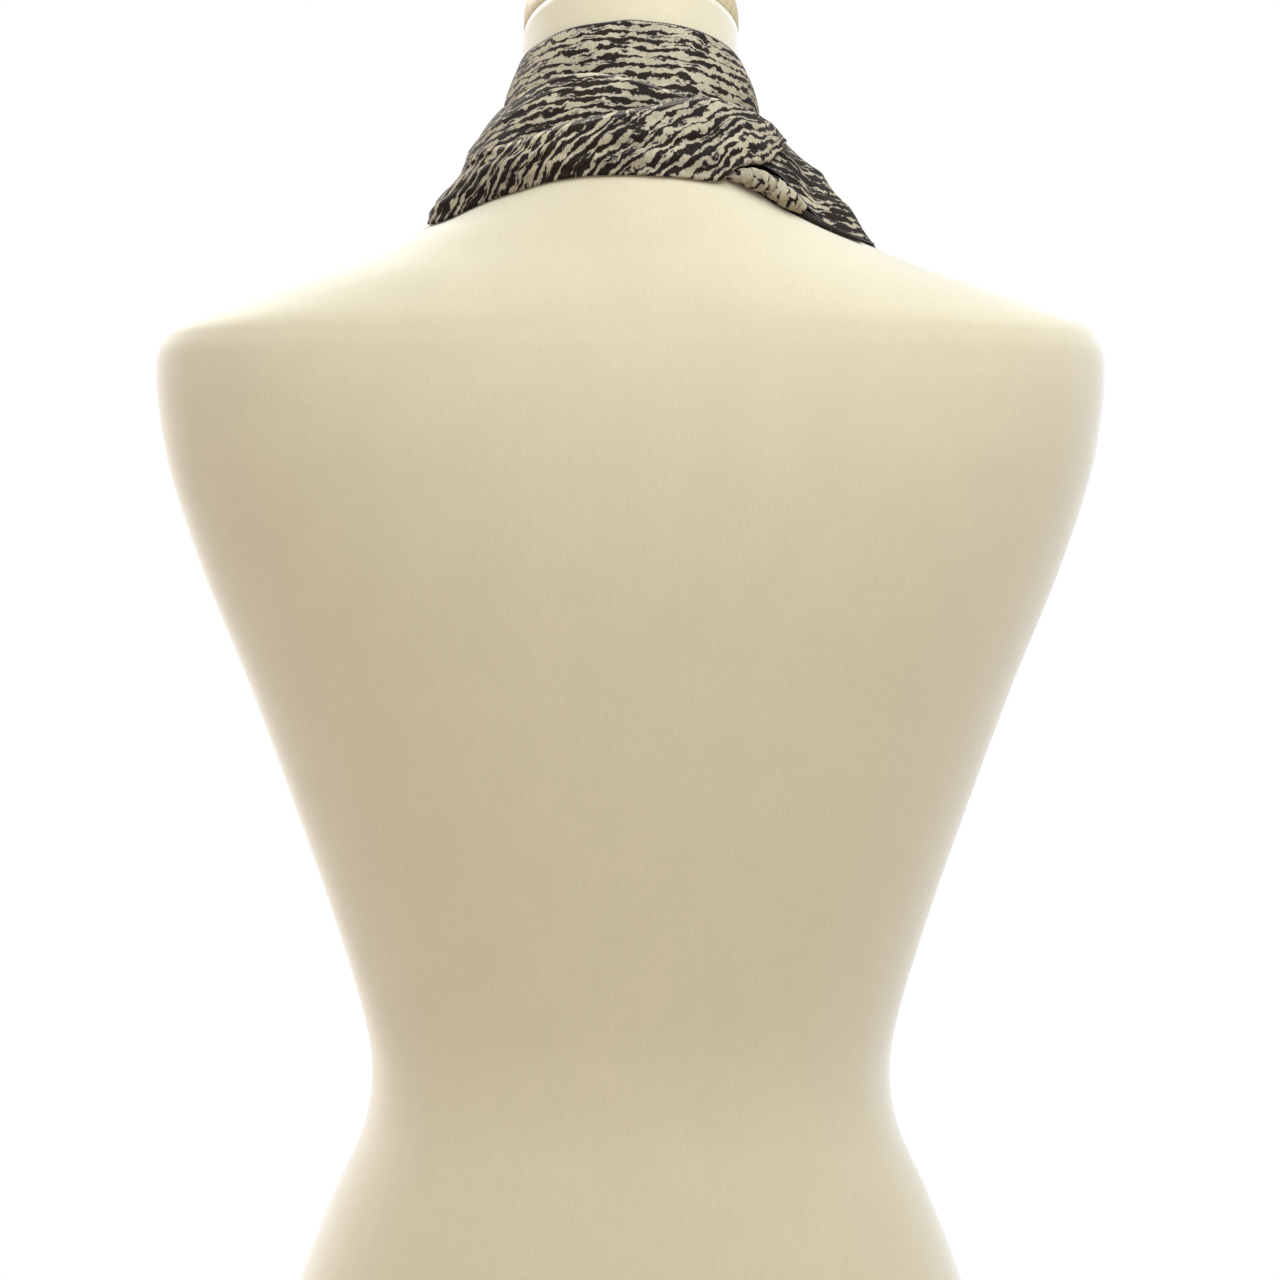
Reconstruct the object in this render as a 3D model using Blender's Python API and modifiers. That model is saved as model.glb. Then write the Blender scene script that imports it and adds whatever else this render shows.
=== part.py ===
"""A printed stole wound round the neck of a limbless dress form.

The form faces -Y and stands on its flat underside, whose middle is the origin.
Sizes are in metres unless a table's heading says millimetres and degrees.
Round the neck, an angle is 0 at the middle of the back and grows towards -X, the form's right.
"""
import itertools
import math

import bmesh
import bpy
import numpy as np
from mathutils import Vector
from mathutils.bvhtree import BVHTree

# Driving dimensions
MM = 0.001
SEAM = 0.3 * MM
PARTED = 0.45 * MM
WALL = 1.2 * MM

# How far cloth stays clear of what lies under it, and how the clearing looks for it
CLEAR = 0.9 * MM
COWL_CLEAR = 1.4 * MM
REACH = 12.0 * MM
FACING_SHARE = 0.8
CLEARING_PASSES = 4
PLACES_A_SIDE = 5

# Lines of points: steps between two rows of a table, along a hanging end, and across the cloth
FOLD_STEPS = 3
WRAP_STEPS = 2
TAIL_STEPS = 30
BAND_ACROSS = 5
FOLD_ACROSS = 9
WRAP_ACROSS = 12
DRAPE_ACROSS = 14
FOLD_WAVES = 2
TAIL_WAVES = 3
TUCKED_LINES = 5

TORSO_SEGMENTS = 40
BUST_HEIGHT = 0.395
BUST_SPACING = 0.150
BUST_DEPTH = 0.022
BUST_WIDTH = 0.042
BUST_RISE = 0.050
BUST_FROM = 0.050

CAP_RADIUS = 0.0462
CAP_HEIGHT = 0.026
CAP_EDGE_RADIUS = 0.017
CAP_CROWN = 0.0015
CAP_FOOT = 0.001
CAP_EDGE_STEPS = 6
CAP_STEPS = 40
MERGE = 0.00005

NECK_AXIS_Y = -0.006
NECK_AXIS_FROM = 0.600
NECK_AXIS_SLOPE = 0.36

ROLL_RADIUS = 5.0 * MM
ROLL_STEPS = 2
ROLL_ROUNDNESS = 2

# The torso's sections: height of the sides, middle in Y, lean in degrees (the back edge rises),
# half width, depth behind and before the middle, squareness
TORSO_COLUMNS = ("height", "middle", "lean", "half_width", "back", "front", "squareness")
TORSO = (
    (0.0000, 0.003, 0.0, 0.1485, 0.0930, 0.0910, 2.25),
    (0.0025, 0.003, 0.0, 0.1528, 0.0970, 0.0950, 2.25),
    (0.0090, 0.003, 0.0, 0.1552, 0.0995, 0.0975, 2.25),
    (0.0450, 0.003, 0.0, 0.1565, 0.1035, 0.1015, 2.25),
    (0.0900, 0.003, 0.0, 0.1510, 0.1025, 0.1010, 2.25),
    (0.1310, 0.002, 0.0, 0.1403, 0.0965, 0.0975, 2.25),
    (0.1650, 0.000, 0.0, 0.1275, 0.0885, 0.0915, 2.20),
    (0.1950, -0.003, 0.0, 0.1140, 0.0825, 0.0855, 2.20),
    (0.2180, -0.004, 0.0, 0.1100, 0.0805, 0.0835, 2.20),
    (0.2420, -0.004, 0.0, 0.1130, 0.0810, 0.0845, 2.20),
    (0.2850, -0.001, 0.0, 0.1257, 0.0840, 0.0915, 2.20),
    (0.3350, 0.001, 0.0, 0.1432, 0.0895, 0.1005, 2.25),
    (0.3850, 0.002, 0.0, 0.1618, 0.0945, 0.1070, 2.30),
    (0.4300, 0.003, 0.0, 0.1802, 0.0975, 0.1070, 2.30),
    (0.4710, 0.004, 0.0, 0.1940, 0.0965, 0.1000, 2.30),
    (0.5000, 0.005, 0.0, 0.1995, 0.0925, 0.0915, 2.30),
    (0.5200, 0.005, 0.0, 0.2008, 0.0885, 0.0845, 2.30),
    (0.5290, 0.005, 0.5, 0.1985, 0.0862, 0.0805, 2.30),
    (0.5350, 0.004, 1.0, 0.1925, 0.0848, 0.0775, 2.28),
    (0.5430, 0.003, 1.5, 0.1710, 0.0825, 0.0735, 2.18),
    (0.5515, 0.001, 2.0, 0.1480, 0.0800, 0.0690, 2.08),
    (0.5610, -0.001, 3.0, 0.1205, 0.0768, 0.0650, 1.98),
    (0.5708, -0.002, 5.0, 0.0985, 0.0725, 0.0610, 1.92),
    (0.5795, -0.003, 8.0, 0.0820, 0.0680, 0.0570, 1.90),
    (0.5885, -0.004, 11.5, 0.0680, 0.0625, 0.0535, 1.92),
    (0.5988, -0.006, 15.0, 0.0575, 0.0565, 0.0505, 1.96),
    (0.6120, -0.009, 19.5, 0.0515, 0.0515, 0.0485, 2.00),
    (0.6265, -0.0135, 23.0, 0.0482, 0.0485, 0.0472, 2.00),
    (0.6440, -0.0190, 25.5, 0.0468, 0.0470, 0.0466, 2.00),
    (0.6615, -0.0240, 27.0, 0.0462, 0.0462, 0.0462, 2.00),
)

# The stole's stretches round the neck: for the upper and the lower edge the angle in degrees, the
# height and the gap to the form in millimetres; then how far the middle bulges, and the folds' depth
BAND_COLUMNS = ("up_angle", "up_height", "up_gap", "low_angle", "low_height", "low_gap", "bulge", "fold")
NECK_BAND = (
    (0, 662.0, 3.0, 0, 626.0, 3.0, 1.5, 0),
    (26, 658.5, 3.0, 26, 624.0, 3.0, 1.5, 0),
    (47, 654.7, 2.6, 47, 622.0, 3.0, 2.0, 0),
    (63, 650.7, 2.0, 63, 620.5, 3.0, 2.6, 0),
    (80, 644.7, 1.5, 80, 618.0, 3.0, 3.0, 0),
    (95, 640.0, 1.5, 95, 615.0, 3.0, 3.0, 0),
    (120, 632.0, 1.5, 120, 606.0, 3.0, 2.5, 0),
    (150, 626.0, 1.5, 150, 598.0, 3.0, 2.0, 0),
    (180, 624.0, 1.5, 180, 595.0, 3.0, 2.0, 0),
)
BACK_FOLD = (
    (25, 628.1, 6.0, 24, 622.5, 6.2, 0.3, 0),
    (13, 632.3, 6.6, 10, 619.5, 6.8, 0.6, 0),
    (2, 636.0, 6.8, -2, 617.0, 7.2, 1.0, 0),
    (-12, 639.0, 7.0, -17, 614.0, 8.5, 1.0, 0),
    (-25, 639.5, 7.0, -30, 610.5, 10.0, 1.2, 0),
    (-40, 636.0, 7.0, -44, 606.0, 11.5, 1.5, 0),
    (-50, 632.8, 7.5, -56, 601.0, 12.0, 2.0, 0),
    (-62, 629.5, 7.8, -68, 594.0, 10.5, 2.4, 0),
    (-78, 628.5, 7.4, -82, 590.0, 8.2, 2.6, 0.2),
    (-97, 627.0, 7.4, -97, 586.5, 7.0, 2.8, 0.6),
)
THROAT_COWL = (
    (-120, 619.0, 8.0, -118, 575.0, 4.0, 4.5, 1.6),
    (-150, 611.0, 9.0, -150, 553.0, 3.0, 6.0, 3.0),
    (-180, 607.0, 10.0, -180, 541.0, 2.5, 8.0, 3.6),
    (-210, 610.0, 9.0, -210, 553.0, 2.5, 6.0, 3.0),
    (-240, 619.0, 7.0, -242, 579.0, 2.0, 2.0, 1.2),
    (-256, 627.5, 6.0, -256, 606.0, 4.5, 1.0, 0.4),
    (-270, 624.5, 6.5, -270, 612.5, 6.5, 0.8, 0),
    (-282, 620.5, 6.0, -282, 610.0, 6.0, 0.5, 0),
    (-294, 617.0, 5.0, -294, 608.5, 5.0, 0.3, 0),
)
BACK_WRAP = (
    (101, 615.0, 9.5, 101, 611.0, 9.5, 0.2, 0),
    (93, 620.5, 10.0, 93, 616.0, 10.0, 0.3, 0),
    (86, 624.0, 10.0, 86, 620.0, 12.0, 0.4, 0),
    (79, 624.0, 9.8, 78, 614.5, 12.6, 0.7, 0),
    (70, 623.2, 9.6, 67, 608.5, 12.5, 1.2, 0),
    (60, 625.0, 9.2, 56, 604.5, 12.5, 1.5, 0),
    (51, 626.0, 9.5, 48, 602.2, 12.5, 2.0, 0.2),
    (42, 628.0, 9.2, 43, 602.0, 12.0, 2.3, 0.4),
    (33, 629.4, 8.8, 37, 598.5, 9.0, 2.8, 0.6),
    (25, 628.8, 8.5, 30, 593.8, 3.5, 3.0, 0.7),
    (15, 626.1, 9.0, 20, 594.2, 2.0, 3.0, 0.7),
    (5, 623.5, 9.7, 9, 595.0, 2.0, 3.0, 0.7),
    (-5, 621.2, 10.5, -3, 595.3, 2.0, 3.0, 0.6),
    (-15, 618.6, 11.3, -15, 595.1, 2.0, 3.0, 0.5),
    (-25, 615.7, 12.0, -27, 593.5, 2.0, 3.0, 0.4),
    (-36, 611.5, 14.0, -38, 590.4, 2.0, 3.0, 0.3),
    (-46, 608.8, 14.8, -49, 586.8, 2.0, 2.8, 0.3),
    (-56, 607.2, 15.0, -57, 582.6, 2.0, 2.5, 0.3),
    (-64, 602.0, 15.0, -63.5, 578.6, 2.0, 2.5, 0.3),
    (-69, 595.5, 13.5, -72, 578.0, 2.0, 1.6, 0.3),
    (-75, 590.5, 11.5, -79, 579.6, 2.0, 1.2, 0.3),
    (-83, 588.5, 9.5, -88, 579.8, 2.0, 0.8, 0.4),
    (-92, 588.0, 9.0, -97, 577.8, 2.0, 0.8, 0.5),
    (-101, 587.0, 9.0, -105, 573.5, 2.5, 1.0, 0.6),
)
SHOULDER_DRAPE = (
    (46, 617.0, 5.0, 44, 604.0, 5.5, 0.5, 0),
    (57, 617.5, 6.0, 52, 602.0, 7.0, 0.8, 0.1),
    (66, 618.0, 8.0, 58, 597.5, 9.0, 1.2, 0.2),
    (74, 619.0, 10.5, 62.5, 588.5, 6.5, 2.0, 0.4),
    (81, 617.5, 11.0, 64, 578.5, 2.0, 2.6, 0.6),
    (88, 617.5, 12.3, 67.7, 574.0, 2.0, 3.0, 0.8),
    (95, 617.0, 13.0, 75, 570.0, 1.5, 3.6, 1.0),
    (101, 614.5, 13.5, 84, 570.0, 1.5, 3.8, 1.2),
    (107, 610.0, 13.0, 94, 567.0, 1.5, 4.0, 1.4),
    (113, 604.0, 12.5, 104, 561.0, 1.5, 4.2, 1.6),
)

# The hanging ends: across the front from the inner to the outer edge, in millimetres: how far each
# edge is from the middle, the heights of both, the gap to the form, the bulge and the pleats' depth
TAIL_COLUMNS = ("inner_side", "inner_height", "outer_side", "outer_height", "gap", "bulge", "pleat")
LEFT_TAIL = (
    (56, 571, 87, 559, 10, 3.0, 1.0),
    (48, 537, 92, 527, 7, 2.5, 2.0),
    (43, 490, 96, 485, 4, 1.5, 3.2),
    (40, 440, 97, 438, 4, 1.0, 4.0),
    (38, 392, 98, 390, 5, 0.5, 4.8),
    (36, 340, 98, 340, 22, 0, 5.4),
    (33, 280, 98, 280, 40, 0, 6.0),
    (30, 220, 99, 220, 47, 0, 6.5),
    (27, 160, 100, 160, 43, 0, 7.0),
    (24, 100, 101, 101, 36, 0, 7.4),
)
RIGHT_TAIL = (
    (55, 575, 99, 540, 7, 3.2, 1.8),
    (48, 535, 99, 511, 5, 2.6, 2.6),
    (42, 485, 99, 470, 4, 1.5, 3.4),
    (39, 435, 98, 428, 4, 1.0, 4.2),
    (36, 390, 97, 386, 5, 0.5, 5.0),
    (33, 335, 97, 333, 23, 0, 5.6),
    (31, 270, 98, 270, 42, 0, 6.2),
    (28, 205, 99, 205, 47, 0, 6.7),
    (25, 140, 100, 140, 42, 0, 7.1),
    (22, 70, 101, 72, 33, 0, 7.5),
)

# The rolled edge: angle in degrees, height of its middle in millimetres, share of the full radius
ROLL_COLUMNS = ("angle", "height", "thickness")
SHOULDER_ROLL = (
    (36.5, 597.4, 0.30),
    (38.2, 594.7, 0.62),
    (40.5, 592.8, 0.82),
    (43.7, 591.1, 0.94),
    (47.7, 589.0, 1.00),
    (50.0, 586.2, 1.00),
    (52.7, 583.1, 0.90),
    (56.0, 581.3, 0.66),
    (57.8, 580.2, 0.48),
)


def smooth(places, values, at):
    """Values read at other places from a smooth curve through the given rows."""
    places = np.asarray(places, float)
    values = np.asarray(values, float)
    steps = np.diff(places)
    slopes = np.diff(values, axis=0) / steps[:, None]
    tangents = np.empty_like(values)
    tangents[0] = slopes[0]
    tangents[-1] = slopes[-1]
    before = steps[:-1, None]
    after = steps[1:, None]
    tangents[1:-1] = (slopes[:-1] * after + slopes[1:] * before) / (before + after)
    found = []
    for place in at:
        index = int(np.clip(np.searchsorted(places, place) - 1, 0, len(steps) - 1))
        span = steps[index]
        t = (place - places[index]) / span
        start = (1 + 2 * t) * (1 - t) ** 2 * values[index] + t * (1 - t) ** 2 * span * tangents[index]
        end = t * t * (3 - 2 * t) * values[index + 1] - t * t * (1 - t) * span * tangents[index + 1]
        found.append(start + end)
    return np.array(found)


def refined(table, per_row):
    """A table with per_row steps between its rows, as a smooth curve through them."""
    rows = np.array(table, float)
    places = np.arange(len(rows))
    return smooth(places, rows, np.linspace(0, len(rows) - 1, (len(rows) - 1) * per_row + 1))


def material(name, colour, roughness):
    """A plain Principled material."""
    made = bpy.data.materials.new(name)
    made.use_nodes = True
    shader = made.node_tree.nodes["Principled BSDF"]
    shader.inputs["Base Color"].default_value = (*colour, 1)
    shader.inputs["Roughness"].default_value = roughness
    shader.inputs["Metallic"].default_value = 0
    return made


def place(name, mesh, finish, collection):
    """An object made from a mesh, with its material, in the parts' collection."""
    thing = bpy.data.objects.new(name, mesh)
    mesh.materials.append(finish)
    collection.objects.link(thing)
    return thing


def torso_ring(row, segments):
    """One closed section of the torso, from +X over the back."""
    size = dict(zip(TORSO_COLUMNS, row))
    power = 2 / size["squareness"]
    lean = math.radians(size["lean"])
    ring = []
    for index in range(segments):
        turn = 2 * math.pi * index / segments
        across = math.copysign(abs(math.cos(turn)) ** power, math.cos(turn)) * size["half_width"]
        depth = math.copysign(abs(math.sin(turn)) ** power, math.sin(turn))
        depth *= size["back"] if depth > 0 else size["front"]
        y = size["middle"] + depth * math.cos(lean)
        z = size["height"] + depth * math.sin(lean)
        if depth < 0:
            beside = (abs(across) - BUST_SPACING / 2) / BUST_WIDTH
            above = (z - BUST_HEIGHT) / BUST_RISE
            y -= BUST_DEPTH * math.exp(-beside * beside - above * above) * min(1, -depth / BUST_FROM)
        ring.append(Vector((across, y, z)))
    return ring


def torso_mesh(segments):
    """The torso as a loft through its sections, closed above and below by flat faces."""
    work = bmesh.new()
    rings = [[work.verts.new(point) for point in torso_ring(row, segments)] for row in TORSO]
    for lower, upper in zip(rings, rings[1:]):
        for index in range(segments):
            after = (index + 1) % segments
            work.faces.new((lower[index], lower[after], upper[after], upper[index]))
    walls = list(work.faces)
    work.faces.new(reversed(rings[0]))
    work.faces.new(rings[-1])
    bmesh.ops.triangulate(work, faces=walls)
    mesh = bpy.data.meshes.new("torso")
    work.to_mesh(mesh)
    work.free()
    mesh.shade_smooth()
    return mesh


def neck_cap(finish, collection):
    """The turned wooden cap, its profile drawn down the outer side, leaning with the neck's top."""
    edge_middle = CAP_RADIUS - CAP_EDGE_RADIUS
    points = [(0, CAP_HEIGHT + CAP_CROWN), (edge_middle / 2, CAP_HEIGHT + CAP_CROWN * 3 / 4)]
    for step in range(CAP_EDGE_STEPS + 1):
        turn = math.pi / 2 * (1 - step / CAP_EDGE_STEPS)
        points.append((edge_middle + CAP_EDGE_RADIUS * math.cos(turn),
                       CAP_HEIGHT - CAP_EDGE_RADIUS * (1 - math.sin(turn))))
    points += [(CAP_RADIUS, CAP_FOOT), (CAP_RADIUS - CAP_FOOT, 0), (0, 0)]
    mesh = bpy.data.meshes.new("neck_cap")
    edges = [(index, index + 1) for index in range(len(points) - 1)]
    mesh.from_pydata([(radius, 0, height) for radius, height in points], edges, [])
    cap = place("neck_cap", mesh, finish, collection)
    top = dict(zip(TORSO_COLUMNS, TORSO[-1]))
    lean = math.radians(top["lean"])
    cap.rotation_euler = (lean, 0, 0)
    cap.location = (0, top["middle"] - SEAM * math.sin(lean), top["height"] + SEAM * math.cos(lean))
    screw = cap.modifiers.new("Turned", "SCREW")
    screw.steps = CAP_STEPS
    screw.render_steps = CAP_STEPS
    screw.use_merge_vertices = True
    screw.merge_threshold = MERGE
    screw.use_smooth_shade = True
    return cap


def tree_of(mesh):
    """A search tree of a mesh's faces."""
    return BVHTree.FromPolygons([vert.co for vert in mesh.vertices], [face.vertices for face in mesh.polygons])


def neck_axis(height):
    """The point of the neck's axis at a height."""
    return Vector((0, NECK_AXIS_Y - NECK_AXIS_SLOPE * max(0, height - NECK_AXIS_FROM), height))


def round_neck(form, angle, height, gap):
    """The point at an angle and height round the neck, a gap outside the form (degrees, millimetres)."""
    turn = math.radians(angle)
    outwards = Vector((-math.sin(turn), math.cos(turn), 0))
    found = form.ray_cast(neck_axis(height * MM) + outwards, -outwards)[0]
    return found + outwards * gap * MM


def before_form(form, side, height, gap):
    """The point in front of the form at a place across it and a height, a gap before it."""
    found = form.ray_cast(Vector((side * MM, -1, height * MM)), Vector((0, 1, 0)))[0]
    return found - Vector((0, gap * MM, 0))


def band_edges(form, table, per_row):
    """The upper and lower edge points, bulge and fold of a stretch round the neck."""
    edges = []
    for row in refined(table, per_row):
        size = dict(zip(BAND_COLUMNS, row))
        upper = round_neck(form, size["up_angle"], size["up_height"], size["up_gap"])
        lower = round_neck(form, size["low_angle"], size["low_height"], size["low_gap"])
        edges.append((*upper, *lower, size["bulge"] * MM, size["fold"] * MM))
    return edges


def tail_edges(form, table, side):
    """The inner and outer edge points, bulge and pleat of a hanging end; side is 1 for +X."""
    edges = []
    for row in table:
        size = dict(zip(TAIL_COLUMNS, row))
        inner = before_form(form, side * size["inner_side"], size["inner_height"], size["gap"])
        outer = before_form(form, side * size["outer_side"], size["outer_height"], size["gap"])
        edges.append((*inner, *outer, size["bulge"] * MM, size["pleat"] * MM))
    return edges


def with_tail(band, tail, count):
    """A stretch's edge rows, and count even steps of the hanging end that goes on smoothly from it."""
    rows = np.array(band[-3:] + tail, float)
    middles = (rows[:, 0:3] + rows[:, 3:6]) / 2
    places = np.concatenate([[0], np.cumsum(np.linalg.norm(np.diff(middles, axis=0), axis=1))])
    hanging = smooth(places, rows, np.linspace(places[2], places[-1], count + 1)[1:])
    return np.vstack([np.array(band, float), hanging])


def cloth_grid(rows, across, waves, closed=False):
    """Points of a stretch: one line of them across the cloth for each row of its edges."""
    grid = []
    count = len(rows)
    for index, row in enumerate(rows):
        upper = Vector(row[0:3])
        lower = Vector(row[3:6])
        before = rows[(index - 1) % count] if closed else rows[max(index - 1, 0)]
        after = rows[(index + 1) % count] if closed else rows[min(index + 1, count - 1)]
        forwards = Vector((after[0:3] + after[3:6] - before[0:3] - before[3:6]) / 2)
        outwards = (lower - upper).cross(forwards).normalized()
        middle = (upper + lower) / 2
        if outwards.dot(middle - neck_axis(middle.z)) < 0:
            outwards.negate()
        line = []
        for step in range(across + 1):
            t = step / across
            lift = row[6] * math.sin(math.pi * t) + row[7] * math.sin(2 * math.pi * waves * t)
            line.append(upper.lerp(lower, t) + outwards * lift)
        grid.append(line)
    return grid


def shortfall(point, obstacles):
    """The move that lifts a point clear of what lies under it: pairs of a search tree and a distance."""
    move = Vector()
    for tree, distance in obstacles:
        found, normal, _, far = tree.find_nearest(point + move, REACH)
        if found is None:
            continue
        depth = (point + move - found).dot(normal)
        if abs(depth) > FACING_SHARE * far and depth < distance:
            move += normal * (distance - depth)
    return move


def keep_clear(grid, obstacles):
    """Lift a stretch's points, and then places on its faces, clear of what lies under it."""
    for line in grid:
        for point in line:
            point += shortfall(point, obstacles)
    shares = [step / (PLACES_A_SIDE - 1) for step in range(PLACES_A_SIDE)]
    for _ in range(CLEARING_PASSES):
        for line, after in zip(grid, grid[1:]):
            for column in range(len(line) - 1):
                corners = (line[column], line[column + 1], after[column + 1], after[column])
                for first, second in itertools.product(shares, shares):
                    near = corners[0].lerp(corners[1], first)
                    far = corners[3].lerp(corners[2], first)
                    move = shortfall(near.lerp(far, second), obstacles)
                    for corner in corners:
                        corner += move
    return grid


def grid_faces(rows, columns, closed):
    """Triangles between the points of a grid."""
    faces = []
    for row in range(rows if closed else rows - 1):
        after = (row + 1) % rows
        for column in range(columns - 1):
            corners = (row * columns + column, row * columns + column + 1,
                       after * columns + column + 1, after * columns + column)
            faces.append((corners[0], corners[1], corners[2]))
            faces.append((corners[0], corners[2], corners[3]))
    return faces


def grid_mesh(name, grid, closed=False):
    """An open mesh through a grid of points, its normals pointing away from the form."""
    points = [point for line in grid for point in line]
    faces = grid_faces(len(grid), len(grid[0]), closed)
    first = [points[index] for index in faces[len(faces) // 2]]
    normal = (first[1] - first[0]).cross(first[2] - first[0])
    middle = sum(first, Vector()) / 3
    if normal.dot(middle - neck_axis(middle.z)) < 0:
        faces = [tuple(reversed(face)) for face in faces]
    mesh = bpy.data.meshes.new(name)
    mesh.from_pydata(points, [], faces)
    mesh.update()
    return mesh


def cloth_wall(name, grid, finish, collection, closed=False):
    """A stretch of the stole as a wall that grows outwards from its points; also its search tree."""
    mesh = grid_mesh(name, grid, closed)
    mesh.shade_smooth()
    tree = tree_of(mesh)
    wall = place(name, mesh, finish, collection)
    solid = wall.modifiers.new("Wall", "SOLIDIFY")
    solid.thickness = WALL
    solid.offset = 1
    solid.use_even_offset = False
    return tree


def part_of(grid, start, end):
    """Some lines of a grid, with its end lines drawn back where the cloth is parted at a seam."""
    part = [[point.copy() for point in line] for line in grid[start:end]]
    cut_ends = []
    if start > 0:
        cut_ends.append((part[0], part[1]))
    if end < len(grid):
        cut_ends.append((part[-1], part[-2]))
    for line, beside in cut_ends:
        for point, inner in zip(line, beside):
            point += (inner - point).normalized() * PARTED
    return part


def shoulder_roll(form, finish, collection):
    """The rolled lower edge: a tapering tube on the shoulder."""
    curve = bpy.data.curves.new("shoulder_roll", "CURVE")
    curve.dimensions = "3D"
    curve.bevel_depth = ROLL_RADIUS
    curve.bevel_resolution = ROLL_ROUNDNESS
    curve.use_fill_caps = True
    rows = refined(SHOULDER_ROLL, ROLL_STEPS)
    spline = curve.splines.new("POLY")
    spline.points.add(len(rows) - 1)
    for point, row in zip(spline.points, rows):
        size = dict(zip(ROLL_COLUMNS, row))
        middle = round_neck(form, size["angle"], size["height"], 0)
        clear = size["thickness"] * ROLL_RADIUS + CLEAR
        found, normal, _, _ = form.find_nearest(middle)
        point.co = (*(found + normal * clear), 1)
        point.radius = size["thickness"]
    roll = bpy.data.objects.new("shoulder_roll", curve)
    curve.materials.append(finish)
    collection.objects.link(roll)
    depsgraph = bpy.context.evaluated_depsgraph_get()
    mesh = bpy.data.meshes.new_from_object(roll.evaluated_get(depsgraph))
    return tree_of(mesh)


def build():
    for thing in list(bpy.data.objects):
        bpy.data.objects.remove(thing)
    parts = bpy.data.collections.new("Stole on a dress form")
    bpy.context.scene.collection.children.link(parts)
    jersey = material("Cream jersey", (0.66, 0.60, 0.44), 0.9)
    wood = material("Turned wood", (0.52, 0.36, 0.20), 0.5)
    print_cloth = material("Printed stole cloth", (0.30, 0.27, 0.20), 0.7)

    torso = torso_mesh(TORSO_SEGMENTS)
    place("torso", torso, jersey, parts)
    neck_cap(wood, parts)
    form = tree_of(torso)
    beneath = [(form, CLEAR)]

    half = band_edges(form, NECK_BAND, FOLD_STEPS)
    mirrored = [(-x1, y1, z1, -x2, y2, z2, b, f) for x1, y1, z1, x2, y2, z2, b, f in half[-2:0:-1]]
    ring = np.array(half + mirrored)
    grid = keep_clear(cloth_grid(ring, BAND_ACROSS, 0, closed=True), beneath)
    tree = cloth_wall("neck_band", grid, print_cloth, parts, closed=True)
    beneath.append((tree, WALL + CLEAR))

    strand = np.array(band_edges(form, BACK_FOLD + THROAT_COWL, FOLD_STEPS))
    split = (len(BACK_FOLD) - 1) * FOLD_STEPS
    grid = keep_clear(cloth_grid(strand, FOLD_ACROSS, FOLD_WAVES), beneath)
    fold_tree = cloth_wall("back_fold", part_of(grid, 0, split + 1), print_cloth, parts)
    cowl_tree = cloth_wall("throat_cowl", part_of(grid, split, len(grid)), print_cloth, parts)
    beneath += [(fold_tree, WALL + CLEAR), (cowl_tree, WALL + COWL_CLEAR)]

    roll_tree = shoulder_roll(form, print_cloth, parts)
    beneath.append((roll_tree, CLEAR))

    band = band_edges(form, SHOULDER_DRAPE, WRAP_STEPS)
    strand = with_tail(band, tail_edges(form, RIGHT_TAIL, -1), TAIL_STEPS)
    grid = keep_clear(cloth_grid(strand, DRAPE_ACROSS, TAIL_WAVES), beneath)
    drape_tree = cloth_wall("shoulder_drape", part_of(grid, 0, len(band)), print_cloth, parts)
    cloth_wall("right_tail", part_of(grid, len(band) - 1, len(grid)), print_cloth, parts)

    # The wrap's first lines are tucked in behind the drape, and the rest of it lies over the drape
    band = band_edges(form, BACK_WRAP, WRAP_STEPS)
    strand = with_tail(band, tail_edges(form, LEFT_TAIL, 1), TAIL_STEPS)
    grid = cloth_grid(strand, WRAP_ACROSS, TAIL_WAVES)
    over_drape = beneath + [(drape_tree, WALL + CLEAR)]
    grid = keep_clear(grid[:TUCKED_LINES], beneath) + keep_clear(grid[TUCKED_LINES:], over_drape)
    cloth_wall("back_wrap", part_of(grid, 0, len(band)), print_cloth, parts)
    cloth_wall("left_tail", part_of(grid, len(band) - 1, len(grid)), print_cloth, parts)


build()
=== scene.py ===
"""Looks for a printed stole wound round the neck of a limbless dress form.

The form faces -Y and stands on Z = 0. Sizes are in metres unless a table's heading says
millimetres and degrees. Round the neck, an angle is 0 at the middle of the back and grows
towards -X, the form's right.
"""
import math

import bmesh
import bpy
import numpy as np
from mathutils import Matrix, Vector, noise
from mathutils.bvhtree import BVHTree


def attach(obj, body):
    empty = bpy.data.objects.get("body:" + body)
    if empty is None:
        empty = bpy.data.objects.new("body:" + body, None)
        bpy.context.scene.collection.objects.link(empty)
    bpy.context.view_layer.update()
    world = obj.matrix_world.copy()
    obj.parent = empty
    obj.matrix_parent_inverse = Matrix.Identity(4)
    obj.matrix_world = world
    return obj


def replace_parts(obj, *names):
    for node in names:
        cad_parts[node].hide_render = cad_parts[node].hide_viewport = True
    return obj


bl_info = {
    "name": "Stole on a dress form",
    "version": (1, 0, 0),
    "blender": (4, 5, 0),
    "location": "View3D > Sidebar > Stole",
    "description": "Makes a printed stole wound round the neck of a dress form",
    "category": "Add Mesh",
}

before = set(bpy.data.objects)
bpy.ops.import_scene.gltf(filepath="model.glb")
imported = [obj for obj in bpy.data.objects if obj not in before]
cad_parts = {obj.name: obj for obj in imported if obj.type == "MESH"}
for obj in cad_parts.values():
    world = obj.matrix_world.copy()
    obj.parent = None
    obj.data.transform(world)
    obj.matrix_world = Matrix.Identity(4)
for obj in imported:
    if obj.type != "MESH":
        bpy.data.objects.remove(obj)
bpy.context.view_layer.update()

MM = 0.001
FULL_TURN = 2 * math.pi

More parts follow.
